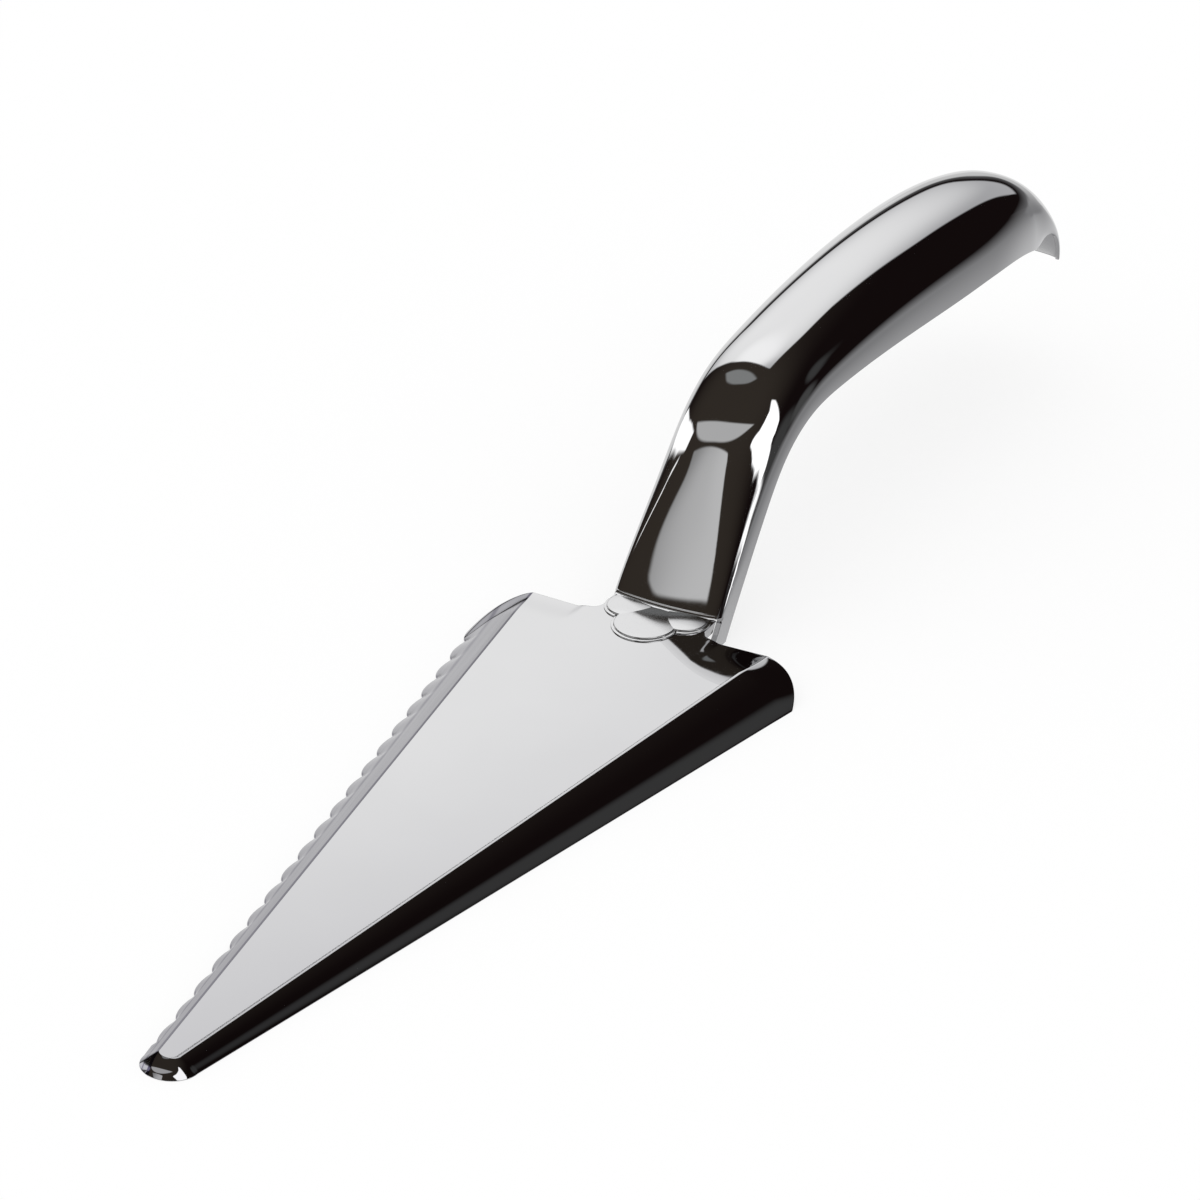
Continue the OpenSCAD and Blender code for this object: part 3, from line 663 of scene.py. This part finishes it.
# %% Petal grid
petal_directions, petal_reaches, dome_rows, dome_margin = 361, 2401, 25, 0.1
brim_round = ((-0.04, 0.015), (0.0, 0.06), (0.02, 0.14))
step_start = ((0.04, 0.02), (0.09, 0.0))
step_round = ((-0.12, -0.01), (-0.04, -0.04), (0.0, -0.12))


def petal_grid(index):
    """Profile rows along each direction: cushion, rounded rim, step, edge, and back to the middle underneath. The rim's
    round is given as (outward, down) from the brim, the step's two ends as (outward, up) from brim and edge."""
    cx, cy, radius = petals[index]
    angle = np.linspace(0.0, 2 * np.pi, petal_directions)[None, :]
    reach = np.linspace(0.0, radius + petal_border, petal_reaches)[:, None]
    x, y = cx + reach * np.cos(angle), cy + reach * np.sin(angle)
    own = petal_height(index, x, y)
    ahead = [petal_height(k, x, y) >= own for k in range(index)]
    behind = [petal_height(k, x, y) > own for k in range(index + 1, len(petals))]
    room = seam_line(y) - x
    outer = np.minimum(first_reach(room <= 0, reach, radius + petal_border), radius + petal_border)
    brim = np.minimum(first_reach(room <= seam_border, reach, radius), radius)
    free = np.minimum(first_reach(np.any(ahead + behind, axis=0), reach, radius + petal_border), outer)
    brim_height = cushion(radius, brim)
    dome = (brim - dome_margin) * np.sin(np.linspace(0.0, np.pi / 2, dome_rows))[:, None]
    profile = [(row[None, :], cushion(radius, row[None, :])) for row in dome]
    profile += [(brim + out, brim_height - fall) for out, fall in brim_round]
    profile += [(brim + out, border_height + up) for out, up in step_start]
    profile += [(outer + out, border_height + up) for out, up in step_round] + [(outer, sunk_height)]
    stop_height = np.where(free < brim, cushion(radius, np.minimum(free, brim)), border_height)
    rows = [np.minimum(out, free) for out, _ in profile] + [0 * free]
    heights = [np.where(out > free, stop_height, height) for out, height in profile[:-1]]
    heights += [np.full_like(free, sunk_height), np.full_like(free, sunk_height)]
    r, z = np.concatenate(rows), np.concatenate(heights)
    return np.stack([cx + r * np.cos(angle), cy + r * np.sin(angle), z - seat_depth], axis=-1)


# %% Foot piece
fillet_reach, fillet_half, fillet_sunk, fillet_behind = 0.55, half_tongue - 0.1, 0.1, 0.2


def seam_fillet(rows=121, columns=13):
    """Small hollow round between step and neck: its arc touches both, one reach away from their corner. The ring is
    closed behind and underneath, and its two ends are drawn to a point."""
    y = np.linspace(-fillet_half, fillet_half, rows)[:, None]
    turn = np.linspace(0.0, neck_angle, columns)[None, :]
    radius = fillet_reach / np.tan(neck_angle / 2)
    corner = seam_line(y) + (border_height - seat_depth) / np.tan(neck_angle)
    x, z = corner - fillet_reach + radius * np.sin(turn), border_height + radius * (1 - np.cos(turn)) + 0 * y
    inside_x, inside_z = corner + fillet_behind, np.full_like(y, border_height - fillet_sunk)
    ring = np.stack([np.concatenate([x, inside_x, x[:, :1]], axis=1), np.broadcast_to(y, (rows, columns + 2)),
                     np.concatenate([z, inside_z, z[:, :1]], axis=1) - seat_depth], axis=-1)
    ends = [np.broadcast_to(ring[k, :-1].mean(axis=0), ring[k].shape)[None] for k in (0, -1)]
    return np.concatenate([ends[0], ring, ends[1]])


foot = finished_piece("lobed_foot", [(petal_grid(k), True) for k in range(len(petals))] + [(seam_fillet(), False)],
                      set_down)

# %% [markdown]
# ## A small language for finishes
# Shader graphs are easier to read as sums. The class below wraps a socket, so that ordinary operators add Math nodes,
# and one method adds any other node: its settings are made first, then its sockets are filled or linked.

# %% Shader helper
class Wire:
    """A socket that can be used in Python sums."""

    def __init__(self, tree, socket=None):
        self.tree, self.socket = tree, socket

    def fill(self, target, value):
        """Links a wire to a node's socket, or sets the socket to a plain value."""
        if isinstance(value, Wire):
            self.tree.links.new(value.socket, target)
        else:
            target.default_value = value

    def add(self, kind, settings=None, sockets=None, output=0):
        """A new node with its settings made and its sockets filled, as a wire from one of its outputs."""
        node = self.tree.nodes.new(kind)
        for name, value in (settings or {}).items():
            setattr(node, name, value)
        for name, value in (sockets or {}).items():
            self.fill(node.inputs[name], value)
        return Wire(self.tree, node.outputs[output] if node.outputs else None)

    def maths(self, operation, *values):
        """A Math node on numbers or wires."""
        return self.add("ShaderNodeMath", {"operation": operation}, dict(enumerate(values)))

    def __add__(self, other): return self.maths("ADD", self, other)
    def __radd__(self, other): return self.maths("ADD", other, self)
    def __sub__(self, other): return self.maths("SUBTRACT", self, other)
    def __rsub__(self, other): return self.maths("SUBTRACT", other, self)
    def __mul__(self, other): return self.maths("MULTIPLY", self, other)
    def __rmul__(self, other): return self.maths("MULTIPLY", other, self)
    def __truediv__(self, other): return self.maths("DIVIDE", self, other)

    def smooth(self, low, high):
        """Smooth step of a value from low to high."""
        return self.add("ShaderNodeMapRange", {"interpolation_type": "SMOOTHSTEP"},
                        {"Value": self, "From Min": low, "From Max": high})

    def band(self, low, full, last, high):
        """One between full and last, with smooth steps down to zero at low and at high."""
        return self.smooth(low, full) * self.smooth(high, last)

    def ramp(self, low, high):
        """Straight ramp of a value from low to high, held between zero and one."""
        return self.add("ShaderNodeMapRange", {"clamp": True}, {"Value": self, "From Min": low, "From Max": high})

    def between(self, a, b):
        """Colour mix from a to b by this value."""
        return self.add("ShaderNodeMix", {"data_type": "RGBA"}, {0: self, 6: a, 7: b}, output=2)

    def along(self, way):
        """How far this vector goes along a direction: their dot product."""
        return self.add("ShaderNodeVectorMath", {"operation": "DOT_PRODUCT"}, {0: self, 1: tuple(way)}, output=1)


# %% Finish helpers
def grey(level):
    """Neutral colour of one level, opaque."""
    return (level, level, level, 1.0)


def new_finish(name):
    """An empty material and a wire into its tree."""
    finish = bpy.data.materials.new(name)
    finish.use_nodes = True
    finish.node_tree.nodes.clear()
    return finish, Wire(finish.node_tree)


def close_finish(wire, surface):
    """Links a surface to the material's output."""
    wire.add("ShaderNodeOutputMaterial", None, {"Surface": surface})


def ray_kinds(wire, *kinds):
    """Wires that are one for a ray of the named kind and zero for any other."""
    outputs = wire.add("ShaderNodeLightPath").socket.node.outputs
    return [Wire(wire.tree, outputs[kind]) for kind in kinds]


# %% [markdown]
# ## Mirror polish
# The shells are polished until they show the room. Two things keep such metal from looking computed: a broad haze left
# by the polishing wheel, and fine marks from use. Both change the roughness a little, and the haze also changes the
# grey. A small amount is enough, because the eye sees the reflection first and the metal second.
# On the blade the grey also carries painted shade: the flat is painted darker towards the tip and the plain side. The
# toothed wall is ground lengthwise and is rougher. It keeps long grinding marks, and its grey is darker, partly for the
# ground finish and partly as painted shade. Painted shade lines lie in the crease and above the teeth, and a short arc
# lies inside each valley. All of them are worked out from the place on the blade.

# %% Mirror polish
mark_scale, haze_scale = 900.0, 60.0
polished_rough, mark_rough, haze_rough, ground_rough = 0.02, 0.02, 0.015, 0.06
# shaded_metal_grey is the dark lavender grey towards which the blade's painted shade and grinding marks pull the
# polish.
clear_metal, hazy_metal, shaded_metal_grey = (0.615, 0.615, 0.62, 1.0), (0.585, 0.585, 0.59, 1.0), (0.08, 0.072, 0.115, 1.0)


def mirror_polish(name, softer=0.0, shade_and_marks=None):
    """Polished metal: its grey wanders a little with a broad haze, its roughness with the haze and with fine marks.
    With shade_and_marks the grey also takes painted shade and grinding marks, and ground places get rougher.
    """
    finish, wire = new_finish(name)
    place = wire.add("ShaderNodeTexCoord", output=3)
    marks = wire.add("ShaderNodeTexNoise", None, {"Vector": place, "Scale": mark_scale, "Detail": 3.0})
    haze = wire.add("ShaderNodeTexNoise", None, {"Vector": place, "Scale": haze_scale, "Detail": 2.0})
    rough = polished_rough + softer + mark_rough * marks.smooth(0.45, 0.75) + haze_rough * haze.smooth(0.4, 0.8)
    colour = haze.between(clear_metal, hazy_metal)
    if shade_and_marks:
        # Here the blade's painted shade and grinding marks darken the grey.
        shade_and_mark_share, ground = shade_and_marks(place)
        colour, rough = shade_and_mark_share.between(colour, shaded_metal_grey), rough + ground_rough * ground
    metal = wire.add("ShaderNodeBsdfPrincipled", None, {"Base Color": colour, "Metallic": 1.0, "Roughness": rough})
    close_finish(wire, metal)
    return finish


# %% Painted shade and marks of the blade
# Strengths of painted shade: the flat towards the tip and the plain side; the toothed wall overall, partly for its
# ground finish, and towards the tip; dark lines in the crease, above the teeth and in each valley. wall_mark_dull is
# the strength of the grinding marks.
tip_painted_shade, plain_side_painted_shade = 0.21, 0.09
wall_tone_and_painted_shade, wall_mark_dull, wall_tip_painted_shade = 0.33, 0.26, 0.14
upper_painted_shade_line, crease_painted_shade, valley_painted_shade = 0.32, 0.6, 0.35
mark_length, mark_count, wall_stretch = 20.0, 14.0, 1.17


def blade_painted_shade_and_marks(place):
    """Painted shade and grinding marks of the blade's polish, and where it is ground. On the flat the painted shade
    darkens it towards the tip and the plain side. On the toothed wall there are lengthwise grinding marks and a darker
    tone, partly its ground finish and partly painted shade, and painted shade lines in the crease, above the teeth and
    in each valley."""
    axes = place.add("ShaderNodeSeparateXYZ", None, {0: place}).socket.node.outputs
    x, y = Wire(place.tree, axes[0]), Wire(place.tree, axes[1])
    along = mm_per_metre * x + centre_x
    reach = wall_reach_tip + reach_spread * along
    beyond = mm_per_metre * y - half_tip - side_spread * along
    part = beyond / reach
    ground = beyond.smooth(0.0, 0.1)
    tooth = (along - tooth_start) / (rim_run * tooth_pitch)
    offset = tooth.maths("FRACT", tooth) - 0.5
    valley = 4.0 * offset * offset
    lines = place.add("ShaderNodeCombineXYZ", None, {0: along / mark_length, 1: mark_count * part})
    marks = place.add("ShaderNodeTexNoise", None, {"Vector": lines, "Scale": 1.0, "Detail": 3.0})
    # Painted shade lines: in the crease, above the teeth and in each valley.
    crease_shade_mask = beyond.band(0.0, 0.08, 0.45, 0.62)
    upper_shade_mask = part.band(0.48, 0.56, 0.57, 0.66)
    from_rim = wall_stretch * (reach - beyond) - tooth_depth * valley
    valley_shade_mask = from_rim.band(0.15, 0.3, 0.4, 0.55) * valley.smooth(0.2, 0.5)
    # Painted shade on the flat: darker towards the tip and the plain side.
    flat = tip_painted_shade * along.smooth(100.0, -10.0) + plain_side_painted_shade * y.smooth(0.012, -0.018)
    # The toothed wall's grey: a darker tone, partly ground finish and partly painted shade, grinding marks, and painted
    # shade lines.
    wall = wall_tone_and_painted_shade + wall_mark_dull * marks + wall_tip_painted_shade * along.smooth(90.0, 0.0)
    wall = wall + upper_painted_shade_line * upper_shade_mask + crease_painted_shade * crease_shade_mask + valley_painted_shade * valley_shade_mask
    return flat + ground * (wall - flat), ground


# %% Polished finishes
polished = mirror_polish("mirror_polish")
blade_polish_and_painted_shade = mirror_polish("blade_polish_and_painted_shade", shade_and_marks=blade_painted_shade_and_marks)
foot_polish = mirror_polish("foot_polish", softer=0.1)
print("polished finishes:", [finish.name for finish in (polished, blade_polish_and_painted_shade, foot_polish)])

# %% [markdown]
# ## Brushed steel
# The strap and the rivets are out of sight inside the neck, so they keep the brushed face of the sheet they were cut
# from. A noise stretched along the strap gives the lines, for the grey and for the roughness alike.

# %% Brushed steel
along_brush, across_brush = 60.0, 2500.0
brushed_dark, brushed_light = (0.56, 0.56, 0.57, 1.0), (0.68, 0.68, 0.69, 1.0)
brushed_rough, grain_rough = 0.28, 0.16


def brushed_steel(name):
    """Unpolished metal: one stretched noise sets both the grey and the roughness."""
    finish, wire = new_finish(name)
    place = wire.add("ShaderNodeTexCoord", output=3)
    lines = wire.add("ShaderNodeMapping", None, {"Vector": place, "Scale": (along_brush, across_brush, across_brush)})
    grain = wire.add("ShaderNodeTexNoise", None, {"Vector": lines, "Scale": 1.0, "Detail": 4.0})
    metal = wire.add("ShaderNodeBsdfPrincipled", None, {
        "Base Color": grain.between(brushed_dark, brushed_light), "Metallic": 1.0,
        "Roughness": brushed_rough + grain_rough * grain})
    close_finish(wire, metal)
    return finish


steel = brushed_steel("brushed_steel")
print("plain finish:", steel.name)

# %% [markdown]
# ## Dress the pieces
# Each new skin takes the place of its solid and rides on the one fixed body. The strap and the rivets keep their solids
# and only get a finish, because their flat faces and sharp corners are right as they are.

# %% Dress the pieces
for piece, node, finish in ((blade, "blade", blade_polish_and_painted_shade), (handle, "handle_shell", polished),
                            (foot, "scallop_foot", foot_polish)):
    piece.data.materials.append(finish)
    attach(piece, "root")
    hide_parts(node)
for node in ("tang", "rivets"):
    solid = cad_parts[node]
    solid.data.materials.clear()
    solid.data.materials.append(steel)
print("dressed:", [piece.name for piece in (blade, handle, foot)], "and two plain solids in brushed steel")

# %% [markdown]
# ## The floor
# The server lies on a pale sheet. The sheet is lit from all around, so it keeps a soft shadow under the object, and a
# little light of its own lifts it to the white of the background. Away from the object it fades out, as a sheet does
# at the edge of a studio table: that fade is what gives the handle's near side its long soft gradient.

# %% Floor
floor_half = 3.0
floor_mesh = bpy.data.meshes.new("floor")
floor_mesh.from_pydata([(-floor_half, -floor_half, 0), (floor_half, -floor_half, 0), (floor_half, floor_half, 0),
                        (-floor_half, floor_half, 0)], [], [(0, 1, 2, 3)])
floor = bpy.data.objects.new("floor", floor_mesh)
bpy.context.scene.collection.objects.link(floor)
print(f"floor: {2 * floor_half:.0f} m wide")

# %% Pale sheet
paper_white, seen_lift, mirrored_lift = 0.28, 0.72, 0.62
fade_way, fade_start, fade_end = (0.49, -0.87, 0.0), -0.02, 0.05
pale, wire = new_finish("pale_sheet")
away = wire.add("ShaderNodeTexCoord", output=3).along(fade_way)
seen, mirrored, through = ray_kinds(wire, "Is Camera Ray", "Is Glossy Ray", "Is Transmission Ray")
sheet_face = wire.add("ShaderNodeBsdfDiffuse", None, {"Color": grey(paper_white)})
lift = wire.add("ShaderNodeEmission", None, {
    "Color": grey(1.0), "Strength": seen_lift * seen + mirrored_lift * (mirrored + through)})
sheet = wire.add("ShaderNodeAddShader", None, {0: sheet_face, 1: lift})
gone = wire.add("ShaderNodeBsdfTransparent")
faded = away.smooth(fade_start, fade_end) * (1.0 - seen)
close_finish(wire, wire.add("ShaderNodeMixShader", None, {0: faded, 1: sheet, 2: gone}))
floor_mesh.materials.append(pale)
print(f"pale sheet: its own light lifts it to {paper_white + seen_lift:.2f} of white")

# %% [markdown]
# ## The studio
# A mirror shows the room, so the room is designed like a product studio: dark all round, with white cards where the
# object should shine. A card is given by the directions of its corners, as azimuth and elevation in degrees. Each edge
# and the eye span a plane, and a direction lies on the card where it is on the inner side of all these planes.

# %% Directions and cards
def toward_sky(azimuth, elevation):
    """Unit vector of a direction: azimuth turns from X to Y, elevation rises from the table."""
    a, e = np.radians(azimuth), np.radians(elevation)
    return np.array([np.cos(e) * np.cos(a), np.cos(e) * np.sin(a), np.sin(e)])


def outline_share(ray, corners, soft):
    """Share of light of one convex outline: product over its edges of a smooth step of the angle past its plane."""
    ways = np.array([toward_sky(*corner) for corner in corners])
    inner_way, share, half = ways.sum(axis=0), None, np.sin(np.radians(soft))
    for a, b in zip(ways, np.roll(ways, -1, axis=0)):
        plane = np.cross(a, b)
        plane *= np.sign(plane @ inner_way) / np.linalg.norm(plane)
        edge = ray.along(plane.tolist()).smooth(-half, half)
        share = edge if share is None else share * edge
    return share


def card(ray, outlines, soft):
    """A card is one or more convex outlines laid over each other, and the brightest of them counts."""
    share = outline_share(ray, outlines[0], soft)
    for corners in outlines[1:]:
        share = share.maths("MAXIMUM", share, outline_share(ray, corners, soft))
    return share


def spot_light(ray, azimuth, elevation, inner, outer):
    """Share of light of a round soft spot: a smooth step of the angle from its middle."""
    near = ray.along(toward_sky(azimuth, elevation).tolist())
    return near.smooth(np.cos(np.radians(outer)), np.cos(np.radians(inner)))


def level_share(ray, azimuth, low, high):
    """Smooth step of how far a direction points along the level direction of an azimuth."""
    return ray.along(toward_sky(azimuth, 0).tolist()).smooth(low, high)


# %% Dark room
world = bpy.data.worlds.new("studio")
world.use_nodes = True
world.node_tree.nodes.clear()
bpy.context.scene.world = world
wire = Wire(world.node_tree)
ray = wire.add("ShaderNodeTexCoord", output=0)
rise = wire.add("ShaderNodeSeparateXYZ", None, {0: ray}, output=2)

corner_dark, ceiling_dark = (0.0065, 0.0040, 0.0040, 1.0), (0.032, 0.026, 0.021, 1.0)
# Each glow: azimuth, elevation, angles from its middle where it starts and ends to fade, and its grey.
glows = ((-45.5, 36, 2.5, 9, 0.042), (-86, 22, 8, 20, 0.045), (-62, 20, 5, 12, 0.06))
room = spot_light(ray, 120, 60, 20, 72).between(corner_dark, ceiling_dark)
for azimuth, elevation, inner, outer, glow in glows:
    room = spot_light(ray, azimuth, elevation, inner, outer).between(room, grey(glow))
print(f"dark room: {len(glows)} faint glows")

# %% [markdown]
# ## Below the horizon
# The object's lower sides look down past the sheet. There the room gets lighter in two steps: a dim band round the
# horizon, and below it the table's own grey, which is brightest behind the object where the studio is open.

# %% Horizon and table
horizon_lift, horizon_top, horizon_low, table_low = 0.13, 0.12, -0.07, -0.42
horizon_grey, table_dim, table_bright = (0.22, 0.22, 0.225, 1.0), (0.33, 0.33, 0.335, 1.0), (0.72, 0.72, 0.725, 1.0)
dusk = (rise - horizon_lift * level_share(ray, -80, 0.65, 0.85)).ramp(horizon_top, horizon_low)
deep = rise.ramp(horizon_low, table_low)
table_grey = level_share(ray, 10, 0.75, 0.95).between(table_dim, table_bright)
room = deep.between(dusk.between(room, horizon_grey), table_grey)
print(f"horizon: grey {horizon_grey[0]}, table below it: {table_dim[0]} to {table_bright[0]}")

# %% [markdown]
# ## The cards
# Each bright shape on the object is one card, and it shows where the view's direction, turned over at the surface,
# meets that card. The tall wall is what the blade's flat and the top of the grip show, and the sheet behind is what the
# toothed wall shows. The low grey card is the light shape on the neck's front, the side light lies on the neck's left,
# and the window draws the hard strip on its right. A card that fades gets its colour from a soft spot. The crescent on
# the bend is no card: it is one round spot less another.

# %% Fading colours
tall_grey = spot_light(ray, 40, 37, 8, 36).between((0.40, 0.40, 0.41, 1.0), grey(0.87))
tall_grey = spot_light(ray, 46, 51, 2, 16).between(tall_grey, grey(1.0))
low_grey = spot_light(ray, 175, 42, 6, 36).between(grey(0.25), grey(0.55))
far_grey = spot_light(ray, 34, 0, 8, 46).between((0.2, 0.2, 0.205, 1.0), grey(0.5))
print("three cards fade: the tall wall, the low grey card and the far edge of the sheet")

# %% Card outlines
# Each card: its name, how many degrees its edge fades over to either side, its colour and its outlines.
cards = [
    ("soft wall, left", 4.0, grey(0.3), [[(115, 2), (178, 2), (175, 22), (120, 20)]]),
    ("soft wall, front", 4.0, grey(0.3), [[(-170, 5), (-118, 5), (-122, 28), (-165, 32)]]),
    ("sheet behind", 2.5, grey(0.62), [[(2, -40), (50, -40), (46, -2), (2, -2)]]),
    ("far edge of the sheet", 1.2, far_grey, [[(-14, -6), (62, -4), (62, 3), (-14, 0)]]),
    ("tall wall", 0.9, tall_grey, [
        [(-1, 8), (59, 7), (61, 27), (60, 37), (10, 46), (0, 35)],
        [(8, 42), (60, 35), (59, 46), (56, 52), (49, 61), (41, 67.5), (32, 70), (21, 63)]]),
    ("dim card over the bend", 1.0, (0.22, 0.225, 0.225, 1.0), [
        [(69, 43), (78, 51), (82, 58), (82, 64), (80, 67), (75, 70), (63, 72), (61, 63), (64.5, 53)]]),
    ("side light", 0.6, grey(1.2), [
        [(66, -2), (77, 5.3), (88, 15.3), (88, 22.5), (77, 14), (68, 6)],
        [(82, 10.5), (88.3, 15.2), (97, 21.8), (100, 31), (91, 26), (82, 17)],
        [(93, 18.7), (102.5, 26), (108, 29.5), (110, 31), (105, 34), (93, 27.5)],
        [(103.5, 22), (105, 22), (107, 27.5), (105.5, 27.5)]]),
    ("grey card, low", 0.7, low_grey, [
        [(123.5, 38.4), (142, 47.2), (150, 49.7), (159.5, 51.2), (161.5, 50), (166.3, 40.2), (155, 37.9), (144.5, 35),
         (141, 35)]]),
    ("window", 0.8, grey(1.4), [
        [(-88, 72), (-95, 76.5), (-112, 69.5), (-112, 40), (-104, 36), (-97.5, 39), (-91, 46)],
        [(-108, 70.5), (-126, 65.5), (-126, 43.5), (-114, 38.5), (-100, 36), (-99, 37)],
        [(-122, 66.5), (-140, 61.5), (-140, 50.3), (-122, 41.9)],
        [(-136, 62.5), (-152, 59.4), (-154, 57.5), (-136, 48.4)],
        [(-114, 38.5), (-104.5, 30.4), (-99, 26), (-96.5, 26.5), (-97.3, 30), (-100, 36.5), (-104, 38)],
        [(-100.4, 27), (-100.5, 20), (-95, 12), (-84, 5), (-82, 9.5), (-90, 18.6), (-97, 26)]]),
]
light = room
for name, soft, shine, outlines in cards:
    light = card(ray, outlines, soft).between(light, shine)
    print(f"{name}: {len(outlines)} convex outlines, {sum(map(len, outlines))} corners")
print(f"studio: {len(cards)} cards in a dark room")

# %% Crescent and light of the studio
crescent = spot_light(ray, 75, 69.1, 36.1, 37.5) * (1.0 - spot_light(ray, 10.6, 44.7, 65.5, 66.9))
light = crescent.between(light, grey(0.45))
studio_power, dome_power = 1.4, 1.0
seen, bounced = ray_kinds(wire, "Is Camera Ray", "Is Diffuse Ray")
dome = wire.add("ShaderNodeBackground", None, {"Color": grey(1.0), "Strength": dome_power})
sky = wire.add("ShaderNodeBackground", None, {"Color": light, "Strength": studio_power})
wire.add("ShaderNodeOutputWorld", None, {
    "Surface": wire.add("ShaderNodeMixShader", None, {0: seen.maths("MAXIMUM", seen, bounced), 1: sky, 2: dome})})
world.cycles.sampling_method = "NONE"
print(f"light: the mirror sees the cards at {studio_power} times their grey, the sheet sees an even white dome")

# %% [markdown]
# ## The camera
# The camera's stand was worked out from the picture: the tip's corners, the teeth, the seam and the hook's end were
# laid over the same points of the drawing. A long lens from a good half metre away gives its weak perspective.

# %% Camera axes
camera_turn, camera_rise, camera_roll = np.radians([29.34, 29.34, -0.19])
camera_target, camera_distance, camera_aside, camera_up = np.array([63.0, 0.0, 0.0]), 631.7, 23.95, 30.6
back = np.array([-np.cos(camera_turn) * np.cos(camera_rise), -np.sin(camera_turn) * np.cos(camera_rise),
                 np.sin(camera_rise)])
level = np.cross([0.0, 0.0, 1.0], back)
level /= np.linalg.norm(level)
upright = np.cross(back, level)
right = np.cos(camera_roll) * level + np.sin(camera_roll) * upright
up = np.cos(camera_roll) * upright - np.sin(camera_roll) * level
stand = camera_target + camera_distance * back + camera_aside * right + camera_up * up
origin = set_down(np.zeros(3))
axes = np.stack([(set_down(way) - origin) * mm_per_metre for way in (right, up, back)], axis=1)
print(f"the camera stands {np.linalg.norm(stand - camera_target):.0f} mm from the middle of the blade")

# %% Camera
camera_data = bpy.data.cameras.new("camera")
camera_data.sensor_width, camera_data.lens = 36.0, 137.63
camera_data.clip_start, camera_data.clip_end = 0.01, 50.0
camera = bpy.data.objects.new("camera", camera_data)
bpy.context.scene.collection.objects.link(camera)
camera.matrix_world = Matrix.Translation(set_down(stand).tolist()) @ Matrix(axes.tolist()).to_4x4()
bpy.context.scene.camera = camera
bpy.context.scene.view_settings.view_transform = "Standard"
print("camera at", [round(float(c), 3) for c in camera.matrix_world.translation], "m")
